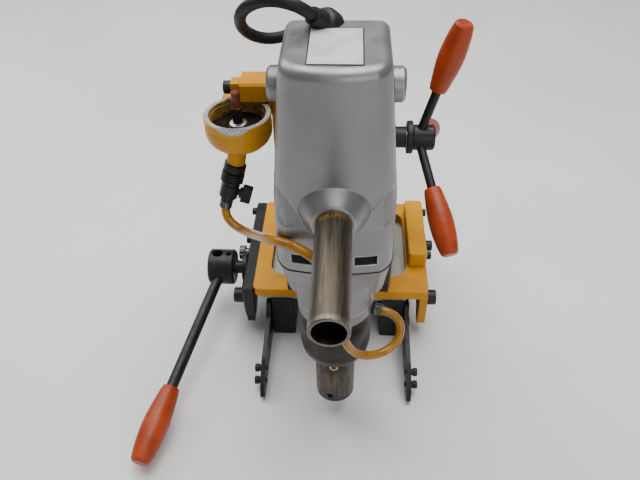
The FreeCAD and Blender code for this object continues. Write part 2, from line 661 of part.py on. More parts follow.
PITCH_R = GEAR_MODULE * PINION_TEETH / 2
ADDENDUM = 0.9 * GEAR_MODULE
DEDENDUM = 1.25 * GEAR_MODULE
TOOTH_PITCH = math.pi * GEAR_MODULE
PRESSURE_ANGLE = math.radians(20)
FEED_AXIS = V(0, FEED_Y, FEED_Z)


def feed_pinion():
    """The shaft with its pinion. Flanks are chords of the involute, thinned by half the backlash."""
    base_r = PITCH_R * math.cos(PRESSURE_ANGLE)
    pitch_half = (TOOTH_PITCH - TOOTH_BACKLASH) / 4 / PITCH_R
    involute = math.tan(PRESSURE_ANGLE) - PRESSURE_ANGLE
    outline = []
    for i in range(PINION_TEETH):
        middle = 2 * math.pi * i / PINION_TEETH
        flank = []
        for r in (PITCH_R - DEDENDUM, base_r, PITCH_R, PITCH_R + ADDENDUM):
            angle = math.acos(min(1.0, base_r / r)) if r > base_r else 0.0
            half = pitch_half + involute - (math.tan(angle) - angle)
            flank.append((r, half))
        outline += [(r, middle - half) for r, half in flank]
        outline += [(r, middle + half) for r, half in reversed(flank)]
    corners = [(-PINION_HALF_WIDTH, FEED_Y + r * math.cos(a), FEED_Z + r * math.sin(a)) for r, a in outline]
    pinion = prism(corners, (2 * PINION_HALF_WIDTH, 0, 0))
    return fused([pinion, rod(FEED_SHAFT_R, (-31, FEED_Y, FEED_Z), (FEED_HUB_X[1] - 6, FEED_Y, FEED_Z))])


def feed_rack():
    """The rack in the carriage's channel, with a gap facing the pinion's tooth at rest."""
    pitch_y = FEED_Y - PITCH_R
    tip = TOOTH_PITCH / 4 - TOOTH_BACKLASH / 4 - ADDENDUM * math.tan(PRESSURE_ANGLE)
    root = TOOTH_PITCH / 4 - TOOTH_BACKLASH / 4 + DEDENDUM * math.tan(PRESSURE_ANGLE)
    x0 = -RACK_HALF_WIDTH
    outline = [(x0, RACK_BACK_Y, RACK_Z[1]), (x0, RACK_BACK_Y, RACK_Z[0]),
               (x0, pitch_y - DEDENDUM, RACK_Z[0])]
    first = math.ceil((RACK_Z[0] - FEED_Z + 3) / TOOTH_PITCH - 0.5)
    last = math.floor((RACK_Z[1] - FEED_Z - 3) / TOOTH_PITCH - 0.5)
    for i in range(first, last + 1):
        z = FEED_Z + (i + 0.5) * TOOTH_PITCH
        outline += [(x0, pitch_y - DEDENDUM, z - root), (x0, pitch_y + ADDENDUM, z - tip),
                    (x0, pitch_y + ADDENDUM, z + tip), (x0, pitch_y - DEDENDUM, z + root)]
    outline.append((x0, pitch_y - DEDENDUM, RACK_Z[1]))
    return prism(outline, (2 * RACK_HALF_WIDTH, 0, 0))


def spoke_lines():
    """The root point and heading of each spoke."""
    splay = math.radians(SPOKE_SPLAY)
    lines = []
    for i in range(3):
        angle = math.radians(SPOKE_FIRST_ANGLE + 120 * i)
        heading = V(math.sin(splay), math.cos(splay) * math.cos(angle), math.cos(splay) * math.sin(angle))
        lines.append((V(SPOKE_ROOT_X, FEED_Y, FEED_Z), heading))
    return lines


def feed_hub():
    """The capstan's hub, bored for the shaft and the three spokes."""
    length = FEED_HUB_X[1] - FEED_HUB_X[0]
    profile = [(FEED_SHAFT_R, 0), (15, 0), (15.5, 0.5), (15.5, 5), (FEED_HUB_R, 6.5),
               (FEED_HUB_R, length - 1.5), (FEED_HUB_R - 1.5, length), (0, length), (0, length - 6),
               (FEED_SHAFT_R, length - 6)]
    hub = turned(profile, (FEED_HUB_X[0], FEED_Y, FEED_Z), AXIS_X)
    return without(hub, [rod(SPOKE_R, root + line * 8, root + line * 40) for root, line in spoke_lines()])


def feed_spokes():
    """The three rods of the capstan."""
    end = SPOKE_REACH - FEED_GRIP_LENGTH / 2
    shaft = rod(FEED_SHAFT_R, FEED_AXIS, FEED_AXIS + AXIS_X * 100)
    return [rod(SPOKE_R, root + line * 8, root + line * end).cut(shaft) for root, line in spoke_lines()]


def feed_grips():
    """The three grips of the capstan."""
    start = SPOKE_REACH - FEED_GRIP_LENGTH
    profile = grip_profile(FEED_GRIP_R, FEED_GRIP_LENGTH, SPOKE_R)
    return [turned(profile, root + line * start, line) for root, line in spoke_lines()]


# Head

BRUSH_BORE_R = 6.5
COUNTER_SHAFT_R = 5.0
ARMATURE_SHAFT_R = 5.0
PLAY = 0.05


def housing_wire(half, y_range, z, bow):
    """A level section of the head: a bowed front, creased front corners and round back corners."""
    front, back = y_range
    lean = HEAD_CORNER_R * (1 - math.sqrt(0.5))
    inset, drop = FRONT_CORNER
    crease = V(half - inset, front + bow, z)
    corner = crease + V(inset, drop, 0) * 0.5 + V(drop, -inset, 0).normalize() * CORNER_BULGE
    right = [crease, corner, V(half, front + bow + drop, z), V(half, back - HEAD_CORNER_R, z),
             V(half - lean, back - lean, z), V(half - HEAD_CORNER_R, back, z)]
    left = [V(-p.x, p.y, p.z) for p in right]
    edges = [Part.Arc(left[0], V(0, front, z), right[0]), Part.Arc(right[0], right[1], right[2]),
             Part.LineSegment(right[2], right[3]), Part.Arc(right[3], right[4], right[5]),
             Part.LineSegment(right[5], left[5]), Part.Arc(left[5], left[4], left[3]),
             Part.LineSegment(left[3], left[2]), Part.Arc(left[2], left[1], left[0])]
    return Part.Wire([e.toShape() for e in edges])


def gear_case():
    """The gear case under the motor, with the rooms of both gear pairs."""
    outline = Part.Face(housing_wire(HEAD_HALF_WIDTH, HEAD_Y, GEAR_CASE_Z[0], BAND_BOW))
    case = outline.extrude(V(0, 0, GEAR_CASE_Z[1] - GEAR_CASE_Z[0]))
    case = case.makeFillet(7.0, [e for e in case.Edges if e.BoundBox.ZMax < GEAR_CASE_Z[0] + 0.1])
    rooms = [upright(32.0, ARBOR_Y, (190.5, 209)), upright(10.0, COUNTER_Y, (188, 212)),
             upright(20.6, COUNTER_Y, (211, 227)), upright(7.0, MOTOR_Y, (208, 230)),
             upright(15.05, MOTOR_Y, (229, 241)), upright(SPINDLE_R + 0.5, ARBOR_Y, (170, 195)),
             upright(COUNTER_SHAFT_R + PLAY, COUNTER_Y, (181, 238))]
    return without(case, rooms)


def housing_form():
    """The housing's outside: a band, a shoulder, a body that narrows upwards and the tube's fairing."""
    band_wire = housing_wire(HEAD_HALF_WIDTH, HEAD_Y, BAND_TOP_Z, BAND_BOW)
    body_wire = housing_wire(BODY_HALF_WIDTH, BODY_Y, BODY_BOTTOM_Z, BODY_BOW)
    top_wire = housing_wire(TOP_HALF_WIDTH, TOP_Y, HOUSING_TOP_Z, TOP_BOW)
    band = Part.Face(band_wire).extrude(V(0, 0, GEAR_CASE_Z[1] - BAND_TOP_Z))
    shoulder = Part.makeLoft([band_wire, body_wire], True, True)
    slope_x = -HEAD_HALF_WIDTH - 10
    slope = prism([(slope_x, HEAD_Y[1] + 1, SLOPE_BOTTOM_Z), (slope_x, SLOPE_TOP_Y, HOUSING_TOP_Z + 0.5),
                   (slope_x, HEAD_Y[1] + 1, HOUSING_TOP_Z + 1)], (-2 * slope_x, 0, 0))
    body = Part.makeLoft([body_wire, top_wire], True, True).cut(slope)
    body = body.makeFillet(HOUSING_TOP_R, [e for e in body.Edges if e.BoundBox.ZMin > SLOPE_BOTTOM_Z - 6])
    depth = FAIRING_ROOT_Y - FAIRING_FRONT_Y
    profile = [(0, 0), (FAIRING_R, 0), (FAIRING_R - 2, 2.5), (17.5, depth - 1.5), (16.2, depth), (0, depth)]
    fairing = turned(profile, (0, FAIRING_ROOT_Y, TUBE_Z), (0, -1, 0))
    return fused([band, shoulder, body, fairing])


def motor_housing():
    """The die-cast motor housing, bored for the motor, the brushes and the front tube."""
    room_y = (TOP_Y[0] + HOUSING_WALL + TOP_BOW, TOP_Y[1] - HOUSING_WALL)
    room_half = TOP_HALF_WIDTH - HOUSING_WALL / 2
    room_x = (-room_half, room_half)
    rooms = [upright(MOTOR_BORE_R, MOTOR_Y, (244, 353)), rounded_block(room_x, room_y, (352, 388), 18.0),
             rounded_block(room_x, room_y, (246, 272), 18.0),
             upright(11.05, MOTOR_Y, (387, 401)), upright(15.05, MOTOR_Y, (239, 245)),
             rod(TUBE_R + PLAY, (0, TUBE_Y[1], TUBE_Z), (0, TUBE_Y[0], TUBE_Z)),
             rod(BRUSH_BORE_R + PLAY, (-60, MOTOR_Y, BRUSH_Z), (60, MOTOR_Y, BRUSH_Z))]
    for x_range in (VENT_X, (-VENT_X[1], -VENT_X[0])):
        rooms.append(box(x_range, (HEAD_Y[0] - 1, room_y[0] + 1), VENT_Z))
    return without(housing_form(), rooms)


def brush_caps():
    """The round caps over the brushes, one on each side."""
    flat_x = 40.0
    seat = rod(BRUSH_CAP_R, (flat_x, MOTOR_Y, BRUSH_Z), (BRUSH_CAP_FACE_X - 2, MOTOR_Y, BRUSH_Z))
    profile = [(0, 0), (BRUSH_CAP_R, 0), (BRUSH_CAP_R, 8), (BRUSH_CAP_R - 2, 10), (8.5, 10), (8.5, 9), (0, 9)]
    cap = turned(profile, (BRUSH_CAP_FACE_X - 10, MOTOR_Y, BRUSH_Z), AXIS_X)
    slot_y = (MOTOR_Y - 9, MOTOR_Y + 9)
    slot = box((BRUSH_CAP_FACE_X - 3, BRUSH_CAP_FACE_X), slot_y, (BRUSH_Z - 1.2, BRUSH_Z + 1.2))
    cap = fused([cap, seat]).cut(slot).cut(housing_form())
    cap = max(cap.Solids, key=lambda s: s.Volume)
    return [cap, mirrored(cap)]


def brush_holders():
    """The two brushes in their tubes, against the commutator."""
    holder = rod(BRUSH_BORE_R, (16.5, MOTOR_Y, BRUSH_Z), (39, MOTOR_Y, BRUSH_Z))
    return [holder, mirrored(holder)]


def stator():
    """The field stack round the armature."""
    return upright(MOTOR_BORE_R - 0.1, MOTOR_Y, (280, 345)).cut(upright(23.3, MOTOR_Y, (279, 346)))


def ball_bearing(outer_r, bore_r, y, z_range):
    """A bearing drawn as one ring with a groove in each side face."""
    z0, z1 = z_range
    inner_race_r = bore_r + (outer_r - bore_r) / 3
    outer_race_r = outer_r - (outer_r - bore_r) / 3
    profile = [(bore_r, z0), (inner_race_r, z0), (inner_race_r, z0 + 1), (outer_race_r, z0 + 1),
               (outer_race_r, z0), (outer_r, z0), (outer_r, z1), (outer_race_r, z1),
               (outer_race_r, z1 - 1), (inner_race_r, z1 - 1), (inner_race_r, z1), (bore_r, z1)]
    return turned(profile, (0, y, 0), AXIS_Z)


def carriage():
    """The slide behind the head: a plate with the dovetail tail and the rack's channel."""
    half = CARRIAGE_HALF_WIDTH
    plate = rounded_block((-half, half), (HEAD_Y[1], CARRIAGE_BACK_Y), CARRIAGE_Z, 7.0)
    tail = dovetail(DOVETAIL_ROOT_HALF, DOVETAIL_ROOT_HALF, TAIL_BACK_Y, CARRIAGE_Z)
    channel_y = (RACK_BACK_Y, TAIL_BACK_Y + 1)
    channel = box((-RACK_HALF_WIDTH, RACK_HALF_WIDTH), channel_y, grow(CARRIAGE_Z, 1))
    return fused([plate, tail]).cut(channel)


def nose():
    """The turned nose that carries the arbor's bearings."""
    z0 = NOSE_BOTTOM_Z
    top = GEAR_CASE_Z[0]
    profile = [(21.5, z0), (NOSE_R - 1, z0), (NOSE_R, z0 + 1), (NOSE_R, top - 10), (NOSE_R + 2, top - 4),
               (NOSE_R + 5, top), (BEARING_R, top), (BEARING_R, z0 + 6), (21.5, z0 + 6)]
    body = turned(profile, (0, ARBOR_Y, 0), AXIS_Z)
    return body.cut(rod(BARB_R, BARB_AXIS - BARB_LINE * 8, BARB_AXIS + BARB_LINE * 40))


def collar():
    """The black oil ring under the nose, stepped in towards the arbor."""
    bore = ARBOR_R + RUNNING_GAP
    z0 = COLLAR_BOTTOM_Z
    z1 = NOSE_BOTTOM_Z
    profile = [(bore, z0), (23.5, z0), (24.5, z0 + 1), (24.5, z0 + 4), (30, z0 + 9), (COLLAR_R, z0 + 11),
               (COLLAR_R, z1 - 1.5), (COLLAR_R - 1.5, z1), (bore, z1)]
    return turned(profile, (0, ARBOR_Y, 0), AXIS_Z)


def front_tube():
    """The open steel tube at the front."""
    y0, y1 = TUBE_Y
    outer = rod(TUBE_R, (0, y0, TUBE_Z), (0, y1, TUBE_Z))
    outer = outer.makeChamfer(0.6, [e for e in outer.Edges if e.BoundBox.YMax < y0 + 0.1])
    return outer.cut(rod(TUBE_R - TUBE_WALL, (0, y0 - 1, TUBE_Z), (0, y1 + 1, TUBE_Z)))


# Spindle and gears

def arbor():
    """The cutter holder, bored for a shank, with two set-screw holes and the pilot's way above."""
    z0, z1 = ARBOR_Z
    profile = [(SHANK_BORE_R, z0), (ARBOR_R - 1.2, z0), (ARBOR_R, z0 + 1.2), (ARBOR_R, z1), (3.2, z1),
               (3.2, z0 + SHANK_BORE_DEPTH), (SHANK_BORE_R, z0 + SHANK_BORE_DEPTH)]
    body = turned(profile, (0, ARBOR_Y, 0), AXIS_Z)
    return without(body, [arbor_plug(z, angle, SET_SCREW_R + 0.02, ARBOR_R + 2) for z, angle in SET_SCREWS])


def arbor_plug(z, angle, radius, reach):
    """A round bar in the arbor's wall at an angle round it, from just outside the bore out to reach."""
    out = V(math.cos(math.radians(angle)), math.sin(math.radians(angle)), 0)
    middle = V(0, ARBOR_Y, z)
    return rod(radius, middle + out * (SHANK_BORE_R + 0.4), middle + out * reach)


def set_screw(z, angle):
    """A socket set screw, just under the arbor's skin."""
    face = ARBOR_R - 0.6
    socket = arbor_plug(z, angle, SET_SCREW_R / 2, face + 1)
    blind = arbor_plug(z, angle, SET_SCREW_R / 2, face - 3.5)
    return arbor_plug(z, angle, SET_SCREW_R, face).cut(socket.cut(blind))


def spindle():
    """The driven shaft with its gear."""
    shaft = upright(SPINDLE_R, ARBOR_Y, (ARBOR_Z[1], SPINDLE_TOP_Z))
    gear = upright(30.7, ARBOR_Y, (192, 206))
    return fused([shaft, gear]).cut(upright(3.2, ARBOR_Y, (ARBOR_Z[1] - 1, 170)))


def counter_gear():
    """The middle shaft: its large gear meets the armature's pinion and its small one the spindle's gear."""
    profile = [(0, 181.5), (COUNTER_SHAFT_R, 181.5), (COUNTER_SHAFT_R, 190), (8.8, 190), (8.8, 208),
               (COUNTER_SHAFT_R + 2, 208), (COUNTER_SHAFT_R + 2, 213), (19.3, 213), (19.3, 224),
               (COUNTER_SHAFT_R, 224), (COUNTER_SHAFT_R, 237), (0, 237)]
    return turned(profile, (0, COUNTER_Y, 0), AXIS_Z)


def armature():
    """The armature: pinion, cooling fan, core and commutator on one shaft."""
    r = ARMATURE_SHAFT_R
    profile = [(0, 209.5), (5.2, 209.5), (5.2, 228), (r, 228), (r, 250), (34, 250), (34, 256), (r + 3, 258),
               (r + 3, 272), (22.5, 280), (22.5, 345), (r + 3, 353), (r + 3, 362), (16, 362), (16, 386),
               (r, 386), (r, 398), (0, 398)]
    return turned(profile, (0, MOTOR_Y, 0), AXIS_Z)


# Oil feed

COCK_LINE = (V(*HOSE_ROUTE[0]) - COCK_TOP).normalize()
COCK_LENGTH = (V(*HOSE_ROUTE[0]) - COCK_TOP).Length
COCK_STEM_LINE = (AXIS_X - COCK_LINE * AXIS_X.dot(COCK_LINE)).normalize()
COCK_PIVOT = COCK_TOP + COCK_LINE * 28
BARB_R = 3.0
BARB_AXIS = V(0, ARBOR_Y, HOSE_ROUTE[-1][2]) + (V(*HOSE_ROUTE[-1]) - V(0, ARBOR_Y, HOSE_ROUTE[-1][2])) * 0.8
BARB_LINE = (V(*HOSE_ROUTE[-1]) - BARB_AXIS).normalize()
BRACKET_X = (-80.0, -56.0)
BRACKET_Y = (-114.0, -90.0)
BRACKET_Z = (337.0, 353.0)
EAR_X = (-88.0, -80.0)
CUP_BOLT = Screw(5.5, 6.5, 3.5, 16.0)
CUP_BOLT_SEAT = (EAR_X[0], -104.0, 345.0)


def oil_cup():
    """The open oil cup with a thick floor, a neck under it and a flat across the front of its rim."""
    z0 = CUP_RIM_Z - CUP_HEIGHT
    z1 = CUP_RIM_Z
    inner = CUP_R - CUP_WALL
    floor = z0 + CUP_FLOOR
    profile = [(0, z0 - 4), (9, z0 - 4), (10, z0), (CUP_R - 7, z0), (CUP_R - 1.5, z0 + 5), (CUP_R, z0 + 9),
               (CUP_R, z1 - 0.8), (CUP_R - 0.8, z1), (inner + 0.6, z1), (inner, z1 - 0.8),
               (inner, floor + 3), (inner - 2, floor), (4, floor), (4, z0 + 2), (0, z0 + 2)]
    cup = turned(profile, (CUP_X, CUP_Y, 0), AXIS_Z)
    flat = Part.makeBox(2 * CUP_R, 12, 20, V(-CUP_R, -12, -12))
    tilt = FreeCAD.Rotation(AXIS_X, CUP_FLAT_TILT)
    flat.Placement = FreeCAD.Placement(V(CUP_X, CUP_Y - inner - 0.3, z1), tilt)
    neck = rod(8.0, (CUP_X, CUP_Y, z0), COCK_TOP)
    cup = fused([cup, neck.cut(box((-200, 0), (-200, 0), (z0 + 1, 400)))])
    return cup.cut(flat).cut(rod(40.0, COCK_TOP, COCK_TOP + COCK_LINE * 20))


def cup_stem():
    """The strainer stem that stands in the cup, with its nut."""
    z0 = CUP_RIM_Z - CUP_HEIGHT
    profile = [(0, 2), (4, 2), (4, 5), (8, 5), (8.5, 6), (7, 11), (4.2, 11.5), (4.2, 25), (3.6, 25.5),
               (3.6, 38), (2.6, 39), (0, 39)]
    return turned(profile, (CUP_X, CUP_Y, z0), AXIS_Z)


def cup_bracket():
    """The arm from the carriage that holds the cup from behind, with a saddle for it and a clamp ear."""
    arm = box(BRACKET_X, BRACKET_Y, BRACKET_Z)
    top_edges = [e for e in arm.Edges if e.BoundBox.ZMin > BRACKET_Z[1] - 0.1]
    arm = arm.makeChamfer(2.0, [e for e in top_edges if e.BoundBox.XLength > 5])
    ear = box(EAR_X, (-110, -98), (339, 351))
    web = box((-98, BRACKET_X[1]), (-112, BRACKET_Y[1]), (CUP_RIM_Z - CUP_HEIGHT + 6, CUP_RIM_Z - 2))
    riser = box((BRACKET_X[0], BRACKET_X[1]), (-102, BRACKET_Y[1]), (CUP_RIM_Z - 3, BRACKET_Z[0] + 1))
    saddle = rod(CUP_R, (CUP_X, CUP_Y, 290), (CUP_X, CUP_Y, CUP_RIM_Z + 1))
    body = without(fused([arm, ear, web, riser]), [saddle, CUP_BOLT.hole(CUP_BOLT_SEAT, (1, 0, 0))])
    return body.cut(box((BRACKET_X[1] - 0.01, 0), (-106, -70), (290, 360)))


def cock_body():
    """The knurled cock between the cup and the hose."""
    length = COCK_LENGTH
    profile = [(0, 0), (8, 0), (9.5, 1), (9.5, 7), (7.5, 8), (7.5, 10), (9, 11), (9, 17), (7, 18), (7, 21),
               (8, 22), (8, length - 5), (5.6, length - 4), (5.6, length), (0, length)]
    bore = rod(3.05, COCK_PIVOT, COCK_PIVOT + COCK_STEM_LINE * 12)
    return turned(profile, COCK_TOP, COCK_LINE).cut(bore)


def cock_handle():
    """The cock's stem with its flat wing."""
    stem = turned([(0, 3), (3, 3), (3, 9), (5, 9), (5, 12), (0, 12)], COCK_PIVOT, COCK_STEM_LINE)
    wing = Part.makeBox(9, 5, 17, V(0, -2.5, -8.5))
    wing = wing.makeFillet(1.2, wing.Edges)
    cross = COCK_STEM_LINE.cross(COCK_LINE)
    turn = FreeCAD.Rotation(COCK_STEM_LINE, cross, COCK_LINE, "ZXY")
    wing.Placement = FreeCAD.Placement(COCK_PIVOT + COCK_STEM_LINE * 11, turn)
    return fused([stem, wing])


def hose_barb():
    """The nipple on the nose with its clamp nut."""
    reach = (V(*HOSE_ROUTE[-1]) - BARB_AXIS).Length - 2 * PLAY
    profile = [(0, -3), (BARB_R, -3), (BARB_R, reach - 3), (5.6, reach - 3), (5.6, reach), (0, reach)]
    return turned(profile, BARB_AXIS, BARB_LINE)


# Motor lead

BOOT_LINE = (V(*LEAD_ROUTE[1]) - V(*LEAD_ROUTE[0])).normalize()


def lead_boot():
    """The flared rubber boot where the lead leaves the housing's top."""
    profile = [(0, 0), (12, 0), (12, 8), (10.5, 11), (8, 13), (6.2, BOOT_LENGTH), (0, BOOT_LENGTH)]
    boot = turned(profile, V(*LEAD_ROUTE[0]) - BOOT_LINE * BOOT_LENGTH, BOOT_LINE).cut(housing_form())
    return max(boot.Solids, key=lambda s: s.Volume)


def pair(shape):
    """A piece and its mirror image."""
    return [shape, mirrored(shape)]


# Sub-parts by name

NODES = {
    "magnet_pole_right": magnet_pole(),
    "magnet_pole_left": mirrored(magnet_pole()),
    "magnet_coils": pair(magnet_coil()),
    "swivel_plate": swivel_plate(),
    "swivel_pin": swivel_pin(),
    "guard_bracket_right": guard_bracket(),
    "guard_bracket_left": mirrored(guard_bracket()),
    "guard_bracket_bolts": pair(BRACKET_BOLT.solid(BRACKET_BOLT_SEAT, (-1, 0, 0))),
    "guard_screws": thumb_screws() + [mirrored(s) for s in thumb_screws()],
    "base_frame": base_frame(),
    "side_plate": side_plate(),
    "flank_screws": flank_screws(),
    "stop_knob": stop_knob(),
    "lever_hub": lever_hub(),
    "lever_rod": lever_rod(),
    "lever_grip": lever_grip(),
    "column": column(),
    "gib": gib(),
    "foot_screws": foot_screws(),
    "lead_gland": lead_gland(),
    "feed_flange": feed_flange(),
    "control_box": control_box(),
    "box_screws": box_screws(),
    "start_button": push_button(-BUTTON_X),
    "stop_button": push_button(BUTTON_X),
    "magnet_rocker": magnet_rocker(),
    "mains_gland": mains_gland(),
    "feed_pinion": feed_pinion(),
    "feed_hub": feed_hub(),
    "feed_spokes": feed_spokes(),
    "feed_grips": feed_grips(),
    "feed_rack": feed_rack(),
    "carriage": carriage(),
    "gear_case": gear_case(),
    "motor_housing": motor_housing(),
    "brush_caps": brush_caps(),
    "brush_holders": brush_holders(),
    "stator": stator(),
    "armature_bearings": [ball_bearing(15, ARMATURE_SHAFT_R + PLAY, MOTOR_Y, (230, 239)),
                          ball_bearing(11, ARMATURE_SHAFT_R + PLAY, MOTOR_Y, (390, 399))],
    "spindle_bearings": [ball_bearing(BEARING_R - PLAY, SPINDLE_R + PLAY, ARBOR_Y, (122, 137)),
                         ball_bearing(BEARING_R - PLAY, SPINDLE_R + PLAY, ARBOR_Y, (158, 173))],
    "nose": nose(),
    "collar": collar(),
    "front_tube": front_tube(),
    "arbor": arbor(),
    "set_screws": [set_screw(z, angle) for z, angle in SET_SCREWS],
    "spindle": spindle(),
    "counter_gear": counter_gear(),
    "armature": armature(),
    "oil_cup": oil_cup(),
    "cup_stem": cup_stem(),
    "cup_bracket": cup_bracket(),
    "cup_bolt": CUP_BOLT.solid(CUP_BOLT_SEAT, (1, 0, 0)),
    "cock_body": cock_body(),
    "cock_handle": cock_handle(),
    "hose_barb": hose_barb(),
    "oil_hose": swept_tube(HOSE_ROUTE, HOSE_R, "oil_hose"),
    "lead_boot": lead_boot(),
    "motor_lead": swept_tube(LEAD_ROUTE, LEAD_R, "motor_lead"),
}

os.makedirs("parts", exist_ok=True)
for name, shape in NODES.items():
    if isinstance(shape, list):
        shape = Part.makeCompound(shape)
    shape.exportStep("parts/%s.step" % name)
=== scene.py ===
# Magnetic-base drilling machine: materials, fine pieces, floor, light and camera
import json
import math

import bmesh
import bpy
from mathutils import Matrix, Vector


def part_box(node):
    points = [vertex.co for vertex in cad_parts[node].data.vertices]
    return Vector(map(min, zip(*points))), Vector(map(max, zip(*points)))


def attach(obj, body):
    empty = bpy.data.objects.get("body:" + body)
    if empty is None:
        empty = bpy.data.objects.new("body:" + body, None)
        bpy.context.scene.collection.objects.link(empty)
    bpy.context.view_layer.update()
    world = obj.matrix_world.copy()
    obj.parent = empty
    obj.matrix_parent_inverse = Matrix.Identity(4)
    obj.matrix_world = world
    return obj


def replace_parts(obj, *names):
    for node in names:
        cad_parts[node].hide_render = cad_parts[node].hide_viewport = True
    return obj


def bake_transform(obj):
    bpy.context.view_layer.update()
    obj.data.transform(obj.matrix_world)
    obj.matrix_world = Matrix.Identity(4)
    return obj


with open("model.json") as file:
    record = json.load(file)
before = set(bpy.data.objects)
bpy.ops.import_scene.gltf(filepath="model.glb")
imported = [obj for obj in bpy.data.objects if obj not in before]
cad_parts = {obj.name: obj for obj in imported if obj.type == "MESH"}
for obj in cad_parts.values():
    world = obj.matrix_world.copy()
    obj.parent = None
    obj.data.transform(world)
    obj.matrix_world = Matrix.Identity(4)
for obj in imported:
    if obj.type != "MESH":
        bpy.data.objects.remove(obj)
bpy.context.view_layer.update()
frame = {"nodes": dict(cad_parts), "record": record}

MM = 0.001

# Camera, fitted to the photograph's view
IMAGE_WIDTH = 640
FOCAL_PIXELS = 617.73
SENSOR_WIDTH = 36.0
CAMERA_PLACE = Vector((10.16, -562.39, 594.73)) * MM
CAMERA_PITCH = math.radians(42.38)
CAMERA_YAW = math.radians(3.44)
CAMERA_ROLL = math.radians(1.21)

# Hose and lead, by the same points as the model
HOSE_RADIUS = 4.0
HOSE_ROUTE = [
    (-97.5, -137, 252), (-99.4, -137.9, 245.9), (-99.5, -140.3, 239.7), (-96.8, -144, 235),
    (-91, -149.3, 233), (-82, -158, 235), (-71, -172, 243), (-61, -188, 254.5), (-51.5, -204, 267),
    (-39.5, -214.5, 273.5), (-27, -222, 275), (-14, -228, 270), (-4, -230, 256), (1.5, -230, 236),
    (4.5, -229, 208), (7, -227, 180), (14, -224, 154), (27, -219, 139), (43, -211, 133),
    (56.5, -202.5, 136.5), (61.5, -195, 146), (59, -188.5, 156.5), (48.24, -185.18, 163.3),
    (36.5, -182.7, 163.3),
]
LEAD_RADIUS = 4.4
LEAD_ROUTE = [
    (-17, -146, 423), (-22.2, -152.5, 429.8), (-31.5, -155, 435), (-43.5, -153.5, 436.5),
    (-55.5, -149, 433), (-65.5, -142, 425), (-70.5, -133, 414), (-69.5, -124.5, 403), (-63, -116, 394),
    (-53, -109, 389), (-42, -101, 387.5), (-33, -90, 388), (-27.5, -78, 386), (-25.3, -68, 380),
    (-25, -61.6, 369.8), (-25, -60.5, 359.3),
]

# Oil cup
CUP_MIDDLE = (-81.0, -127.5)
CUP_R = 27.5
CUP_INNER_R = 23.2
CUP_FLOOR_Z = 320.0
CUP_RIM_Z = 335.0
CUP_FLAT_ANGLE = math.radians(50.0)
STEM_NUT_TOP_Z = 326.3
STEM_BLACK_TOP_Z = 340.3
THREAD_TURNS = 3
THREAD_PITCH = 2.6
THREAD_START = 4.5
THREAD_R = 0.9
CUP_BASE_Z = 305.5

# Ridged sleeve round the cock, measured along the cock from its top
COCK_TOP = Vector((-86.2, -131.5, 289.0))
RIDGE_TURNS = 4
RIDGE_START = 9.0
RIDGE_SPAN = 10.0
RIDGE_HELIX_R = 8.9
RIDGE_R = 1.1

# Clamps at the hose's ends: one rib's profile by radius and height, and how the ribs repeat
CLAMP_BORE_R = 4.05
CLAMP_RIB = [(5.6, 0.2), (5.6, 1.2), (5.0, 1.5)]
CLAMP_RIBS = 4
CLAMP_PITCH = 1.7
CLAMP_LENGTH = 6.9
CLAMP_INSET = 0.2

# Front tube: where its root's oil residue and its mouth's painted highlight begin and are full
TUBE_ROOT_Y = (-232.5, -227.5)
TUBE_MOUTH_HIGHLIGHT_Y = (-318.5, -321.5)

# Seals under the brush caps, and the ribs beside the front tube
SEAL_X = 40.4
SEAL_LEAN = 0.09
SEAL_PROFILE = [(12.2, -0.6), (13.5, -0.6), (13.9, 0.0), (13.5, 1.0), (12.2, 1.0)]
CHEEK_X = 17.5
CHEEK_Y = -214.2
CHEEK_Z = (262.0, 290.0)
CHEEK_R = 2.2

# Gear case under the motor housing, and the nose, collar and arbor below it
SEAM_Z = 240.0
CASE_BOTTOM_Z = 178.0
SEAM_Y = (-215.0, -105.0)
CASE_BOTTOM_Y = (-187.0, -107.0)
SEAM_HALF_WIDTH = 47.0
CASE_BOTTOM_HALF_WIDTH = 44.5
SEAM_BOW = 4.0
SEAM_BOW_HALFWAY = 0.252
SEAM_R = 0.7
CASE_FRONT_CORNER = (10.0, 17.0)
CASE_BULGE = 2.5
CASE_BACK_R = 18.0
CASE_EDGE_R = 6.0
CASE_EDGE_STEPS = 6
NOSE_Y = -175.0
NOSE_R = 34.0
NOSE_BORE_R = 26.0
NOSE_BOTTOM_Z = 115.0
NOSE_BLACK_TOP_Z = 164.0
NOSE_LAND_R = 13.2
NOSE_LAND_DEPTH = 4.5
BARREL_R = 35.4
# Barrel in the gear case's front: radius, and height above the case's lower edge
BARREL_PROFILE = [(0, 0), (BARREL_R, 0), (BARREL_R, 26), (35, 48), (32, 53), (27, 55), (0, 55)]
# Collar under the nose: radius and height
COLLAR_PROFILE = [
    (20.4, 97), (22, 97), (26, 98.5), (30, 102), (32.4, 107), (33.4, 112), (33.4, 114.9), (20.4, 114.9),
]
ARBOR_R = 20.0
ARBOR_CHAMFER = 1.2
ARBOR_Z = (27.0, 112.0)
SHANK_BORE_R = 9.55
SHANK_BORE_DEPTH = 36.0
PILOT_R = 3.2
# Arbor's set screws: height, and angle round the arbor in degrees
ARBOR_SCREWS = [(86.5, -93.0), (37.0, -104.0)]
SCREW_R = 4.2
SCREW_PLAY = 0.1
# Where the arbor and its screws change colour, from none to all of it
ARBOR_BLUE_Z = (36.0, 31.0)
ARBOR_DARK_Z = (70.0, 82.0)
SCREW_OILY_Z = (75.0, 60.0)
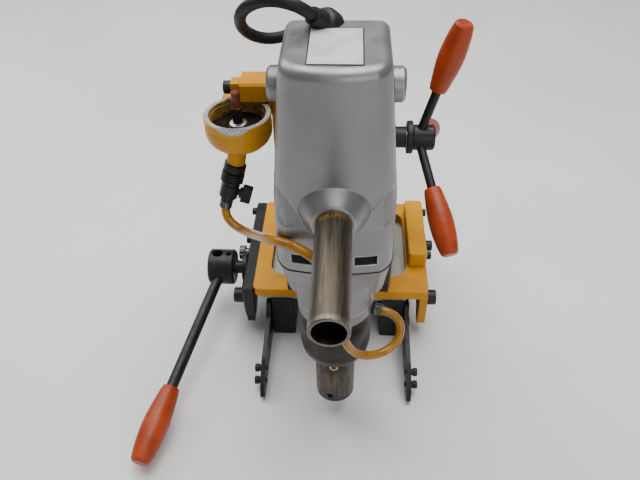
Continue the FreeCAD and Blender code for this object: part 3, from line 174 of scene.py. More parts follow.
# Rooms for the gears and shafts: radius, Y and Z range
COUNTER_Y = -135.0
MOTOR_Y = -160.0
GEAR_ROOMS = [
    (32.0, NOSE_Y, (190.5, 209.0)), (10.0, COUNTER_Y, (188.0, 212.0)), (20.6, COUNTER_Y, (211.0, 227.0)),
    (7.0, MOTOR_Y, (208.0, 230.0)), (15.1, MOTOR_Y, (229.0, 241.0)), (13.2, NOSE_Y, (170.0, 195.0)),
    (5.2, COUNTER_Y, (181.0, 238.0)),
]
# Slanting facets on the housing's front, right half: along the band's edge, and on the panel
FACET_LOW = [(17.0, -214.2, 286.0), (37.0, -210.8, 286.0), (43.9, -203.7, 286.0), (46.8, -194.2, 286.0)]
FACET_HIGH = [(36.2, -204.7, 311.0), (43.4, -197.9, 316.0), (46.1, -188.5, 320.0)]
FACET_SINK = 3.0
SHARP_ANGLE = math.radians(65.0)

# Slide behind the head, as far to the right as the photograph shows
SLIDE_X = (-56.0, 48.0)
SLIDE_Y = (-105.0, -80.0)
SLIDE_Z = (152.0, 352.0)
SLIDE_CORNER = 6.0
TAIL_OUTLINE = [(22.0, -80.0), (26.6, -72.0), (8.0, -72.0), (8.0, -83.0)]

# Bare plate on the housing's top
PLATE_MIDDLE = Vector((0.0, -172.0, 413.05))
PLATE_SIZE = (38.0, 56.0)
PLATE_THICK = 0.5
PLATE_CORNER = 1.5
PLATE_BORDER = 1.1

# Studio, in metres and watts: each light's name, place, size and power
FLOOR_HALF_SIZE = 4.0
LIGHTS = [
    ("window", (-1.2, 0.9, 1.5), 1.2, 22.0),
    ("ceiling", (0.15, 0.2, 1.9), 1.6, 54.0),
    ("front", (0.7, -1.7, 0.9), 1.4, 13.0),
]
LIGHT_TARGET = Vector((0, -0.1, 0.2))
SKY_COLOUR = (0.93, 0.96, 1.0, 1.0)
SKY_STRENGTH = 0.17


# Materials

class Paint:
    """A material and short calls for the nodes that the materials share."""

    def __init__(self, name, metallic=0.0, roughness=0.5):
        self.material = bpy.data.materials.new(name)
        self.material.use_nodes = True
        self.tree = self.material.node_tree
        self.shader = self.tree.nodes["Principled BSDF"]
        self.shader.inputs["Metallic"].default_value = metallic
        self.shader.inputs["Roughness"].default_value = roughness
        self.place = self.tree.nodes.new("ShaderNodeTexCoord").outputs["Object"]

    def put(self, socket, value):
        """A value, or a link from another node, on a socket."""
        if isinstance(value, bpy.types.NodeSocket):
            self.tree.links.new(value, socket)
        elif isinstance(value, tuple) and len(value) == 3 and socket.type == "RGBA":
            socket.default_value = value + (1.0,)
        else:
            socket.default_value = value

    def set(self, name, value):
        """A value or link on one of the shader's sockets."""
        self.put(self.shader.inputs[name], value)

    def noise(self, scale, detail=4.0, stretch=(1, 1, 1)):
        """Soft random values about one half. scale counts features per metre."""
        mapping = self.tree.nodes.new("ShaderNodeMapping")
        self.put(mapping.inputs["Vector"], self.place)
        mapping.inputs["Scale"].default_value = stretch
        node = self.tree.nodes.new("ShaderNodeTexNoise")
        self.put(node.inputs["Vector"], mapping.outputs["Vector"])
        node.inputs["Scale"].default_value = scale
        node.inputs["Detail"].default_value = detail
        return node.outputs["Fac"]

    def ramp(self, value, low, high, start=0.0, end=1.0):
        """A smooth step from start to end as value goes from low to high."""
        node = self.tree.nodes.new("ShaderNodeMapRange")
        node.interpolation_type = "SMOOTHSTEP"
        self.put(node.inputs["Value"], value)
        node.inputs["From Min"].default_value = low
        node.inputs["From Max"].default_value = high
        node.inputs["To Min"].default_value = start
        node.inputs["To Max"].default_value = end
        return node.outputs["Result"]

    def math(self, operation, a, b):
        """Two values combined."""
        node = self.tree.nodes.new("ShaderNodeMath")
        node.operation = operation
        self.put(node.inputs[0], a)
        self.put(node.inputs[1], b)
        return node.outputs["Value"]

    def mix(self, share, a, b):
        """Colour a, turning to b as share goes from 0 to 1."""
        node = self.tree.nodes.new("ShaderNodeMix")
        node.data_type = "RGBA"
        self.put(node.inputs[0], share)
        self.put(node.inputs[6], a)
        self.put(node.inputs[7], b)
        return node.outputs[2]

    def scaled(self, colour, factor):
        """A colour made lighter or darker by a varying factor."""
        node = self.tree.nodes.new("ShaderNodeVectorMath")
        node.operation = "SCALE"
        self.put(node.inputs[0], colour)
        self.put(node.inputs["Scale"], factor)
        return node.outputs["Vector"]

    def axis(self, name):
        """One coordinate of the place on the object, in metres."""
        node = self.tree.nodes.new("ShaderNodeSeparateXYZ")
        self.put(node.inputs[0], self.place)
        return node.outputs[name]

    def radius(self, middle):
        """The distance in metres from an upright axis through a point in millimetres."""
        squares = []
        for name, value in zip("XY", middle):
            offset = self.math("SUBTRACT", self.axis(name), value * MM)
            squares.append(self.math("MULTIPLY", offset, offset))
        return self.math("SQRT", self.math("ADD", *squares), 0.0)

    def round_edges(self, radius):
        """The normal with edges rounded off, and how much of an edge each place is."""
        soft = self.tree.nodes.new("ShaderNodeBevel")
        soft.samples = 6
        soft.inputs["Radius"].default_value = radius * MM
        wide = self.tree.nodes.new("ShaderNodeBevel")
        wide.samples = 6
        wide.inputs["Radius"].default_value = 2.2 * radius * MM
        plain = self.tree.nodes.new("ShaderNodeNewGeometry")
        dot = self.tree.nodes.new("ShaderNodeVectorMath")
        dot.operation = "DOT_PRODUCT"
        self.put(dot.inputs[0], wide.outputs["Normal"])
        self.put(dot.inputs[1], plain.outputs["Normal"])
        return soft.outputs["Normal"], self.ramp(dot.outputs["Value"], 0.985, 0.8)

    def crevice(self, distance):
        """How deep in a corner each place is."""
        node = self.tree.nodes.new("ShaderNodeAmbientOcclusion")
        node.samples = 6
        node.inputs["Distance"].default_value = distance * MM
        return self.ramp(node.outputs["AO"], 0.85, 0.35)

    def bump(self, height, depth, normal=None):
        """Relief of a depth in millimetres on the shader's normal."""
        node = self.tree.nodes.new("ShaderNodeBump")
        node.inputs["Strength"].default_value = 1.0
        node.inputs["Distance"].default_value = depth * MM
        self.put(node.inputs["Height"], height)
        if normal is not None:
            self.put(node.inputs["Normal"], normal)
        self.set("Normal", node.outputs["Normal"])


def worn_paint(name, colour, shade, under, edge_amount=0.5, roughness=0.4, corner_shade_and_dirt_colour=(0.03, 0.025, 0.018)):
    """Paint with uneven colour, chips along the edges, painted shade in the corners patchy like soiling, and
    a fine orange peel.
    """
    paint = Paint(name)
    normal, edge = paint.round_edges(0.5)
    tone = paint.ramp(paint.noise(28), 0.35, 0.7)
    colour = paint.mix(tone, colour, shade)
    # Painted shade: the colour darkens where the occlusion mask finds corners, broken up by noise like
    # soiling.
    corner_shade_and_dirt = paint.math("MULTIPLY", paint.crevice(7), paint.ramp(paint.noise(60, 6), 0.3, 0.65))
    colour = paint.mix(paint.math("MULTIPLY", corner_shade_and_dirt, 0.75), colour, corner_shade_and_dirt_colour)
    chip_noise = paint.noise(420, 6)
    chip = paint.math("MULTIPLY", edge, paint.ramp(chip_noise, 0.56 - 0.1 * edge_amount, 0.66))
    spots = paint.math("MULTIPLY", paint.ramp(paint.noise(170, 8), 0.66, 0.7), 0.6 * edge_amount)
    chip = paint.math("MAXIMUM", chip, spots)
    paint.set("Base Color", paint.mix(chip, colour, under))
    paint.set("Roughness", paint.ramp(paint.noise(90, 5), 0.3, 0.75, roughness - 0.08, roughness + 0.14))
    paint.set("Specular IOR Level", 0.3)
    paint.bump(paint.math("ADD", paint.noise(1300, 2), paint.math("MULTIPLY", chip, -2.0)), 0.03, normal)
    return paint


def cast_silver(name):
    """Silver-painted die-cast alloy, with a painted highlight along its edges and painted brown shade in the
    corners, patchy like soiling.
    """
    paint = Paint(name, metallic=0.7)
    normal, edge = paint.round_edges(1.2)
    colour = paint.mix(paint.ramp(paint.noise(16, 5), 0.3, 0.7), (0.215, 0.21, 0.212), (0.26, 0.256, 0.255))
    fleck = paint.ramp(paint.noise(2600, 2), 0.35, 0.7, 0.9, 1.12)
    colour = paint.scaled(colour, fleck)
    # Painted shade: brown darkening where the occlusion mask finds corners, patchy like soiling.
    stain = paint.math("MULTIPLY", paint.crevice(3.5), paint.ramp(paint.noise(45, 6), 0.4, 0.62))
    colour = paint.mix(paint.math("MULTIPLY", stain, 0.55), colour, (0.1, 0.08, 0.05))
    nick = paint.math("MULTIPLY", edge, paint.ramp(paint.noise(330, 6), 0.62, 0.68))
    # Painted highlight: every edge is lightened towards pale silver.
    colour = paint.mix(paint.math("MULTIPLY", edge, 0.55), colour, (0.72, 0.715, 0.71))
    paint.set("Base Color", paint.mix(paint.math("MULTIPLY", nick, 0.7), colour, (0.09, 0.085, 0.08)))
    paint.set("Roughness", paint.ramp(paint.noise(70, 5), 0.3, 0.7, 0.36, 0.46))
    paint.bump(paint.noise(1500, 3), 0.015, normal)
    return paint


def nose_paint(name):
    """The nose: silver above its step, black below."""
    paint = cast_silver(name)
    silver = paint.shader.inputs["Base Color"].links[0].from_socket
    low = paint.ramp(paint.axis("Z"), (NOSE_BLACK_TOP_Z + 0.1) * MM, (NOSE_BLACK_TOP_Z - 0.1) * MM)
    black = paint.mix(paint.ramp(paint.noise(120, 6), 0.4, 0.7), (0.006, 0.006, 0.006), (0.018, 0.014, 0.01))
    paint.set("Specular IOR Level", 0.2)
    paint.set("Base Color", paint.mix(low, silver, black))
    paint.set("Metallic", paint.math("SUBTRACT", 0.7, paint.math("MULTIPLY", low, 0.7)))
    return paint


def bare_metal(name, colour, shade, stretch, roughness=0.3, rust=0.0, scratch=0.5):
    """Bare steel with scratches along one direction and brown stains."""
    paint = Paint(name, metallic=1.0)
    normal, edge = paint.round_edges(0.4)
    streak = paint.noise(240, 8, stretch)
    tone = paint.mix(paint.ramp(streak, 0.35, 0.68), shade, colour)
    stain = paint.ramp(paint.noise(38, 7), 0.5, 0.66)
    tone = paint.mix(paint.math("MULTIPLY", stain, rust), tone, (0.12, 0.062, 0.025))
    # Painted highlight: every edge is lightened towards pale steel.
    paint.set("Base Color", paint.mix(paint.math("MULTIPLY", edge, 0.5), tone, (0.7, 0.68, 0.65)))
    fine = paint.noise(900, 4, stretch)
    paint.set("Roughness", paint.ramp(fine, 0.3, 0.75, roughness - 0.08, roughness + 0.2))
    paint.bump(streak, 0.04 * scratch, normal)
    return paint


def tube_steel(name):
    """The front tube: a scratched pipe with golden oil residue at its root and a painted highlight round its
    mouth.
    """
    paint = bare_metal(name, (0.098, 0.084, 0.065), (0.078, 0.066, 0.05), (1, 0.05, 1), 0.42, 0.2, 0.2)
    old = paint.shader.inputs["Base Color"].links[0].from_socket
    root = paint.ramp(paint.axis("Y"), TUBE_ROOT_Y[0] * MM, TUBE_ROOT_Y[1] * MM)
    root = paint.math("MULTIPLY", root, paint.ramp(paint.noise(400, 6), 0.4, 0.55))
    colour = paint.mix(root, old, (0.34, 0.2, 0.045))
    # Painted highlight: a pale band round the tube's mouth.
    mouth = paint.ramp(paint.axis("Y"), TUBE_MOUTH_HIGHLIGHT_Y[0] * MM, TUBE_MOUTH_HIGHLIGHT_Y[1] * MM)
    paint.set("Base Color", paint.mix(paint.math("MULTIPLY", mouth, 0.6), colour, (0.2, 0.18, 0.15)))
    return paint


def arbor_steel(name):
    """The arbor: dark at the collar, rubbed bright in its middle and blued at its lower rim."""
    paint = bare_metal(name, (0.13, 0.113, 0.088), (0.06, 0.05, 0.04), (1, 1, 0.1), 0.4, 0.4, 0.5)
    old = paint.shader.inputs["Base Color"].links[0].from_socket
    height = paint.axis("Z")
    rim = paint.ramp(height, ARBOR_BLUE_Z[0] * MM, ARBOR_BLUE_Z[1] * MM)
    colour = paint.mix(paint.math("MULTIPLY", rim, 0.8), old, (0.03, 0.045, 0.07))
    top = paint.ramp(height, ARBOR_DARK_Z[0] * MM, ARBOR_DARK_Z[1] * MM)
    paint.set("Base Color", paint.mix(paint.math("MULTIPLY", top, 0.75), colour, (0.035, 0.03, 0.026)))
    return paint


def moulded(name, colour, shade, roughness=0.4, coat=0.0):
    """Moulded plastic or rubber with a faint grain and scuffs."""
    paint = Paint(name)
    normal = paint.round_edges(0.4)[0]
    tone = paint.mix(paint.ramp(paint.noise(40, 5), 0.35, 0.7), colour, shade)
    scuff = paint.ramp(paint.noise(300, 8), 0.6, 0.7)
    tone = paint.mix(paint.math("MULTIPLY", scuff, 0.3), tone, tuple(0.4 * v + 0.02 for v in colour))
    paint.set("Base Color", tone)
    paint.set("Roughness", paint.ramp(paint.noise(110, 5), 0.3, 0.7, roughness - 0.07, roughness + 0.12))
    paint.set("Coat Weight", coat)
    paint.set("Specular IOR Level", 0.3)
    paint.bump(paint.noise(1600, 3), 0.02, normal)
    return paint


def cup_paint(name):
    """The cup: yellow outside, bare along its rim and front flat, an oil film inside."""
    paint = worn_paint(name, (0.6, 0.275, 0.0), (0.46, 0.19, 0.0), (0.22, 0.21, 0.19), 0.6, 0.4)
    yellow = paint.shader.inputs["Base Color"].links[0].from_socket
    height = paint.axis("Z")
    rim = paint.ramp(height, (CUP_RIM_Z - 0.6) * MM, (CUP_RIM_Z - 0.2) * MM)
    rise = paint.math("MULTIPLY", height, math.cos(CUP_FLAT_ANGLE))
    lean = paint.math("SUBTRACT", rise, paint.math("MULTIPLY", paint.axis("Y"), math.sin(CUP_FLAT_ANGLE)))
    front = CUP_MIDDLE[1] - CUP_INNER_R - 0.3
    level = CUP_RIM_Z * math.cos(CUP_FLAT_ANGLE) - front * math.sin(CUP_FLAT_ANGLE)
    flat = paint.ramp(lean, (level - 0.3) * MM, (level - 0.1) * MM)
    speck = paint.ramp(paint.noise(700, 6), 0.42, 0.68)
    bare = paint.mix(speck, (0.36, 0.355, 0.37), (0.2, 0.19, 0.18))
    colour = paint.mix(paint.math("MAXIMUM", rim, flat), yellow, bare)
    inside = paint.ramp(paint.radius(CUP_MIDDLE), (CUP_INNER_R + 0.4) * MM, (CUP_INNER_R + 0.1) * MM)
    above = paint.ramp(height, (CUP_FLOOR_Z - 0.6) * MM, (CUP_FLOOR_Z - 0.2) * MM)
    inside = paint.math("MULTIPLY", inside, above)
    film = paint.mix(paint.ramp(paint.noise(240, 8), 0.38, 0.62), (0.34, 0.25, 0.07), (0.09, 0.062, 0.02))
    paint.set("Base Color", paint.mix(inside, colour, film))
    return paint


def stem_paint(name):
    """The strainer stem: red-brown at its tip, black below, with a bright nut at its foot."""
    paint = moulded(name, (0.22, 0.04, 0.014), (0.08, 0.016, 0.008), 0.36, 0.2)
    tip = paint.shader.inputs["Base Color"].links[0].from_socket
    height = paint.axis("Z")
    black = paint.ramp(height, (STEM_BLACK_TOP_Z + 1.0) * MM, (STEM_BLACK_TOP_Z - 1.0) * MM)
    nut = paint.ramp(height, (STEM_NUT_TOP_Z + 0.3) * MM, STEM_NUT_TOP_Z * MM)
    colour = paint.mix(black, tip, (0.012, 0.011, 0.01))
    paint.set("Base Color", paint.mix(nut, colour, (0.55, 0.54, 0.52)))
    paint.set("Metallic", nut)
    return paint


def screw_pair(name):
    """The arbor's set screws: the upper one brass-bright, the lower one dark with oil."""
    paint = bare_metal(name, (0.72, 0.58, 0.3), (0.5, 0.38, 0.18), (1, 1, 1), 0.25, 0.1)
    bright = paint.shader.inputs["Base Color"].links[0].from_socket
    low = paint.ramp(paint.axis("Z"), SCREW_OILY_Z[0] * MM, SCREW_OILY_Z[1] * MM)
    paint.set("Base Color", paint.mix(low, bright, (0.03, 0.026, 0.022)))
    return paint


def amber_tube(name):
    """Soft clear tubing, yellowed by oil."""
    paint = Paint(name, roughness=0.16)
    tone = paint.mix(paint.ramp(paint.noise(60, 5), 0.3, 0.7), (0.5, 0.23, 0.02), (0.3, 0.125, 0.01))
    paint.set("Base Color", tone)
    paint.set("Transmission Weight", 0.25)
    paint.set("IOR", 1.4)
    paint.bump(paint.noise(400, 3), 0.02)
    return paint


def plain_plate(name):
    """A bare pale plate with a plain dark border line and rubbed edges."""
    paint = Paint(name, roughness=0.4)
    normal = paint.round_edges(0.3)[0]
    tone = paint.mix(paint.ramp(paint.noise(60, 6), 0.4, 0.7), (0.6, 0.58, 0.57), (0.47, 0.45, 0.44))
    reaches = []
    for axis_name, middle, size in zip("XY", PLATE_MIDDLE, PLATE_SIZE):
        offset = paint.math("SUBTRACT", paint.axis(axis_name), middle * MM)
        reaches.append(paint.math("SUBTRACT", paint.math("ABSOLUTE", offset, 0.0), size / 2 * MM))
    border = paint.ramp(paint.math("MAXIMUM", *reaches), -PLATE_BORDER * MM, (0.15 - PLATE_BORDER) * MM)
    paint.set("Base Color", paint.mix(border, tone, (0.035, 0.033, 0.032)))
    paint.bump(paint.noise(700, 3), 0.015, normal)
    return paint


def floor_paint(name):
    """A pale matt floor with a barely uneven tone."""
    paint = Paint(name, roughness=0.6)
    tone = paint.mix(paint.ramp(paint.noise(3, 5), 0.3, 0.7), (0.7, 0.69, 0.68), (0.75, 0.745, 0.74))
    paint.set("Base Color", tone)
    return paint


YELLOW = worn_paint("yellow_paint", (0.6, 0.265, 0.0), (0.5, 0.21, 0.0), (0.05, 0.04, 0.03), 0.6, 0.45)
NOSE = nose_paint("nose_paint")
COLLAR = moulded("collar_black", (0.005, 0.005, 0.005), (0.01, 0.009, 0.008), 0.32)
CUP_YELLOW = cup_paint("cup_yellow")
SET_SCREWS = screw_pair("set_screws")
BLACK = worn_paint("black_paint", (0.009, 0.009, 0.0095), (0.015, 0.0145, 0.014), (0.1, 0.095, 0.09),
                   0.3, 0.42, (0.03, 0.027, 0.024))
IRON = worn_paint("dark_iron", (0.016, 0.0155, 0.015), (0.024, 0.023, 0.022), (0.08, 0.075, 0.07), 0.3, 0.5,
                  (0.02, 0.017, 0.014))
SILVER = cast_silver("silver_cast")
STEEL = bare_metal("ground_steel", (0.36, 0.345, 0.32), (0.31, 0.295, 0.27), (1, 0.1, 1), 0.42, 0.35, 0.2)
SCREW = bare_metal("bright_screw", (0.6, 0.59, 0.57), (0.4, 0.39, 0.37), (1, 1, 1), 0.25, 0.15)
DARK_STEEL = bare_metal("dark_steel", (0.16, 0.15, 0.135), (0.08, 0.075, 0.07), (1, 1, 0.3), 0.36, 0.3)
TUBE = tube_steel("tube_steel")
ARBOR = arbor_steel("arbor_steel")
BRASS = bare_metal("brass", (0.6, 0.42, 0.16), (0.42, 0.28, 0.1), (1, 1, 0.4), 0.3, 0.2)
COPPER = bare_metal("copper", (0.6, 0.28, 0.14), (0.4, 0.17, 0.08), (1, 1, 0.15), 0.35, 0.1)
GRIP = moulded("red_grip", (0.36, 0.05, 0.01), (0.24, 0.026, 0.006), 0.36)
RUBBER = moulded("black_rubber", (0.008, 0.008, 0.008), (0.013, 0.013, 0.013), 0.5)
PLASTIC = moulded("black_plastic", (0.008, 0.008, 0.008), (0.014, 0.014, 0.014), 0.4)
STEM = stem_paint("stem_plastic")
GREEN = moulded("green_button", (0.03, 0.26, 0.06), (0.02, 0.18, 0.04), 0.3, 0.3)
RED = moulded("red_button", (0.5, 0.025, 0.015), (0.36, 0.02, 0.012), 0.3, 0.3)
AMBER = amber_tube("amber_hose")
PALE = plain_plate("bare_plate")
SLUDGE = moulded("oil_sludge", (0.012, 0.01, 0.007), (0.03, 0.022, 0.012), 0.2, 0.5)
FILM = worn_paint("oil_film", (0.34, 0.2, 0.03), (0.2, 0.11, 0.018), (0.06, 0.04, 0.015), 0.5, 0.3)

SLOT_PAINTS = {
    "black_steel": BLACK, "bare_steel": STEEL, "dark_steel": DARK_STEEL, "bright_screw": SCREW,
    "yellow_iron": YELLOW, "yellow_alloy": YELLOW, "silver_alloy": SILVER, "black_iron": IRON,
    "black_alloy": PLASTIC, "grip_red": GRIP, "copper": COPPER, "brass": BRASS, "amber_hose": AMBER,
    "black_rubber": RUBBER, "black_plastic": PLASTIC, "stem_plastic": STEM, "green_plastic": GREEN,
    "red_plastic": RED,
}
NODE_PAINTS = {"front_tube": TUBE, "oil_cup": CUP_YELLOW}


def dress_nodes():
    """Each solid gets the material of its slot, or one of its own."""
    for row in frame["record"]["subparts"]:
        paint = NODE_PAINTS.get(row["node"], SLOT_PAINTS[row["material_slot"]])
        mesh = frame["nodes"][row["node"]].data
        mesh.materials.clear()
        mesh.materials.append(paint.material)


# Pieces

def in_metres(point):
    """A point in millimetres as a vector in metres."""
    return Vector(point) * MM


def add(name, data, paint, body):
    """A new piece in the scene, with its material and body."""
    piece = bpy.data.objects.new(name, data)
    bpy.context.scene.collection.objects.link(piece)
    data.materials.append(paint.material)
    if body:
        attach(piece, body)
    return piece


def mesh_from(name, shape, smooth=True):
    """A mesh from a bmesh, with outward faces."""
    bmesh.ops.recalc_face_normals(shape, faces=shape.faces)
    mesh = bpy.data.meshes.new(name)
    shape.to_mesh(mesh)
    shape.free()
    for polygon in mesh.polygons:
        polygon.use_smooth = smooth
    if smooth:
        mesh.set_sharp_from_angle(angle=SHARP_ANGLE)
    return mesh


def smooth_line(name, route):
    """A curve of one open smooth spline through the route's control points."""
    curve = bpy.data.curves.new(name, "CURVE")
    curve.dimensions = "3D"
    spline = curve.splines.new("NURBS")
    spline.points.add(len(route) - 1)
    for point, place in zip(spline.points, route):
        point.co = tuple(in_metres(place)) + (1.0,)
    spline.order_u = 3
    spline.use_endpoint_u = True
    curve.resolution_u = 10
    return curve


def round_line(name, route, radius):
    """A smooth line with a round section."""
    curve = smooth_line(name, route)
    curve.bevel_depth = radius * MM
    curve.bevel_resolution = 5
    curve.use_fill_caps = True
    return curve


def line_points(curve):
    """The points along a curve with no bevel."""
    holder = bpy.data.objects.new("line", curve)
    bpy.context.scene.collection.objects.link(holder)
    bpy.context.view_layer.update()
    mesh = bpy.data.meshes.new_from_object(holder.evaluated_get(bpy.context.evaluated_depsgraph_get()))
    points = [v.co.copy() for v in mesh.vertices]
    bpy.data.objects.remove(holder)
    bpy.data.meshes.remove(mesh)
    return points


def tube_mesh(name, points, radius, sides=20):
    """A mesh tube round a line of points, closed at both ends."""
    shape = bmesh.new()
    across = Vector((0, 0, 1))
    rings = []
    for i, point in enumerate(points):
        along = (points[min(i + 1, len(points) - 1)] - points[max(i - 1, 0)]).normalized()
        across = (across - along * across.dot(along)).normalized()
        other = along.cross(across)
        ring = []
        for k in range(sides):
            angle = 2 * math.pi * k / sides
            place = point + (across * math.cos(angle) + other * math.sin(angle)) * radius
            ring.append(shape.verts.new(place))
        rings.append(ring)
    for first, second in zip(rings, rings[1:]):
        for k in range(sides):
            shape.faces.new((first[k], first[(k + 1) % sides], second[(k + 1) % sides], second[k]))
    shape.faces.new(rings[0])
    shape.faces.new(rings[-1])
    return mesh_from(name, shape)


def lathe(name, profile, origin, direction, sides=48, wobble=0.0):
    """A closed turned piece: (radius, height) points round an axis through origin, in millimetres."""
    shape = bmesh.new()
    turn = Vector((0, 0, 1)).rotation_difference(Vector(direction)).to_matrix().to_4x4()
    place = Matrix.Translation(in_metres(origin)) @ turn
    rings = []
    for k in range(sides):
        angle = 2 * math.pi * k / sides
        swell = 1 + wobble * math.sin(3 * angle) * math.cos(5 * angle)
        x, y = swell * math.cos(angle), swell * math.sin(angle)
        rings.append([shape.verts.new(place @ in_metres((r * x, r * y, h))) for r, h in profile])
    count = len(profile)
    for k in range(sides):
        first, second = rings[k], rings[(k + 1) % sides]
        for i in range(count):
            j = (i + 1) % count
            shape.faces.new((first[i], second[i], second[j], first[j]))
    bmesh.ops.remove_doubles(shape, verts=shape.verts, dist=1e-6)
    return mesh_from(name, shape)


def oil_hose():
    """The oil tube from the cock to the nose."""
    hose = add("oil_tube", round_line("oil_tube", HOSE_ROUTE, HOSE_RADIUS), AMBER, "head")
    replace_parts(hose, "oil_hose")


def motor_lead():
    """The motor's lead from the boot to the column."""
    points = line_points(smooth_line("lead_line", LEAD_ROUTE))
    mesh = tube_mesh("motor_cord", points, LEAD_RADIUS * MM)
    lead = add("motor_cord", mesh, RUBBER, None)
    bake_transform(lead)
    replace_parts(lead, "motor_lead")


def cup_details():
    """The thread inside the cup's wall and the oil sludge on its floor."""
    steps = 40
    route = []
    for i in range(THREAD_TURNS * steps + 1):
        angle = 2 * math.pi * i / steps
        height = CUP_FLOOR_Z + THREAD_START + THREAD_PITCH * i / steps
        route.append(in_metres((CUP_MIDDLE[0] + CUP_INNER_R * math.cos(angle),
                                CUP_MIDDLE[1] + CUP_INNER_R * math.sin(angle), height)))
    add("cup_thread", tube_mesh("cup_thread", route, THREAD_R * MM, 6), FILM, "head")
    wall = CUP_INNER_R
    profile = [(4.3, 0.1), (8.6, 0.1), (wall - 3, 0.1), (wall - 0.6, 2.6), (wall - 2.4, 2.0),
               (17, 1.1), (10, 0.8), (4.3, 1.2)]
    sludge = lathe("cup_sludge", profile, CUP_MIDDLE + (CUP_FLOOR_Z,), (0, 0, 1), 64, 0.01)
    add("cup_sludge", sludge, SLUDGE, "head")


def cock_ridges():
    """The turns of the ridged sleeve round the cock."""
    line = (Vector(HOSE_ROUTE[0]) - COCK_TOP).normalized()
    across = line.cross(Vector((0, 1, 0))).normalized()
    other = line.cross(across)
    steps = 24
    route = []
    for i in range(RIDGE_TURNS * steps + 1):
        angle = 2 * math.pi * i / steps
        along = RIDGE_START + RIDGE_SPAN * i / (RIDGE_TURNS * steps)
        out = across * math.cos(angle) + other * math.sin(angle)
        place = COCK_TOP + line * along + out * RIDGE_HELIX_R
        route.append(place * MM)
    add("cock_ridges", tube_mesh("cock_ridges", route, RIDGE_R * MM, 8), BLACK, "head")


def hose_clamps():
    """A ribbed clamp at each end of the oil tube."""
    for name, end, inner in (("cock_clamp", 0, 1), ("barb_clamp", -1, -2)):
        start = Vector(HOSE_ROUTE[end])
        line = (Vector(HOSE_ROUTE[inner]) - start).normalized()
        profile = [(CLAMP_BORE_R, 0)]
        for i in range(CLAMP_RIBS):
            profile += [(radius, height + CLAMP_PITCH * i) for radius, height in CLAMP_RIB]
        profile.append((CLAMP_BORE_R, CLAMP_LENGTH))
        clamp = lathe(name, profile, start + line * CLAMP_INSET, line, 32)
        add(name, clamp, DARK_STEEL, "head")


def raised(name, outline, height):
    """A flat-sided mesh between a level outline and its copy higher up, in millimetres."""
    shape = bmesh.new()
    face = shape.faces.new([shape.verts.new(in_metres(p)) for p in outline])
    copy = bmesh.ops.extrude_face_region(shape, geom=[face])
    top = [v for v in copy["geom"] if isinstance(v, bmesh.types.BMVert)]
    bmesh.ops.translate(shape, verts=top, vec=(0, 0, height * MM))
    return mesh_from(name, shape, False)


def bare_plate():
    """The bare plate on the housing's top, with rounded corners."""
    outline = []
    for corner, (sx, sy) in enumerate(((1, 1), (-1, 1), (-1, -1), (1, -1))):
        for k in range(7):
            angle = math.radians(90 * corner + 15 * k)
            x = sx * (PLATE_SIZE[0] / 2 - PLATE_CORNER) + PLATE_CORNER * math.cos(angle)
            y = sy * (PLATE_SIZE[1] / 2 - PLATE_CORNER) + PLATE_CORNER * math.sin(angle)
            outline.append(PLATE_MIDDLE + Vector((x, y, 0)))
    add("bare_plate", raised("bare_plate", outline, PLATE_THICK), PALE, "head")


def arc_points(start, middle, end, count):
    """Points of the level arc from start to end through middle."""
    a, b, c = Vector(start), Vector(middle), Vector(end)
    double = 2 * (a.x * (b.y - c.y) + b.x * (c.y - a.y) + c.x * (a.y - b.y))
    aa, bb, cc = a.length_squared, b.length_squared, c.length_squared
    hub = Vector((aa * (b.y - c.y) + bb * (c.y - a.y) + cc * (a.y - b.y),
                  aa * (c.x - b.x) + bb * (a.x - c.x) + cc * (b.x - a.x))) / double
    first = math.atan2(a.y - hub.y, a.x - hub.x)
    last = math.atan2(c.y - hub.y, c.x - hub.x)
    sweep = math.remainder(last - first, 2 * math.pi)
    radius = (a - hub).length
    angles = [first + sweep * i / count for i in range(count + 1)]
    return [hub + Vector((math.cos(angle), math.sin(angle))) * radius for angle in angles]


def case_outline(half, y_range):
    """A level section of the gear case, the same number of points at every height."""
    front, back = y_range
    inset, drop = CASE_FRONT_CORNER
    crease = Vector((half - inset, front + SEAM_BOW))
    corner = crease + Vector((inset, drop)) / 2 + Vector((drop, -inset)).normalized() * CASE_BULGE
    side = Vector((half, front + SEAM_BOW + drop))
    lean = CASE_BACK_R * (1 - math.sqrt(0.5))
    back_corner = (half - lean, back - lean)
    halfway = (crease.x * 0.5, front + SEAM_BOW * SEAM_BOW_HALFWAY)
    right = arc_points((0, front), halfway, crease, 10)
    right += arc_points(crease, corner, side, 8)[1:]
    right += arc_points((half, back - CASE_BACK_R), back_corner, (half - CASE_BACK_R, back), 10)
    return right + [Vector((-p.x, p.y)) for p in reversed(right[1:])]


def case_seam():
    """The dark joint between the motor housing and the gear case."""
    outline = case_outline(SEAM_HALF_WIDTH, SEAM_Y)
    route = [in_metres((p.x, p.y, SEAM_Z)) for p in outline + outline[:1]]
    add("case_seam", tube_mesh("case_seam", route, SEAM_R * MM, 8), PLASTIC, "head")


def stacked(name, rings):
    """A closed mesh from rings of points, each with the same count."""
    shape = bmesh.new()
    levels = [[shape.verts.new(in_metres(p)) for p in ring] for ring in rings]
    count = len(rings[0])
    for low, high in zip(levels, levels[1:]):
        for k in range(count):
            shape.faces.new((low[k], low[(k + 1) % count], high[(k + 1) % count], high[k]))
    shape.faces.new(levels[0])
    shape.faces.new(levels[-1])
    return mesh_from(name, shape)


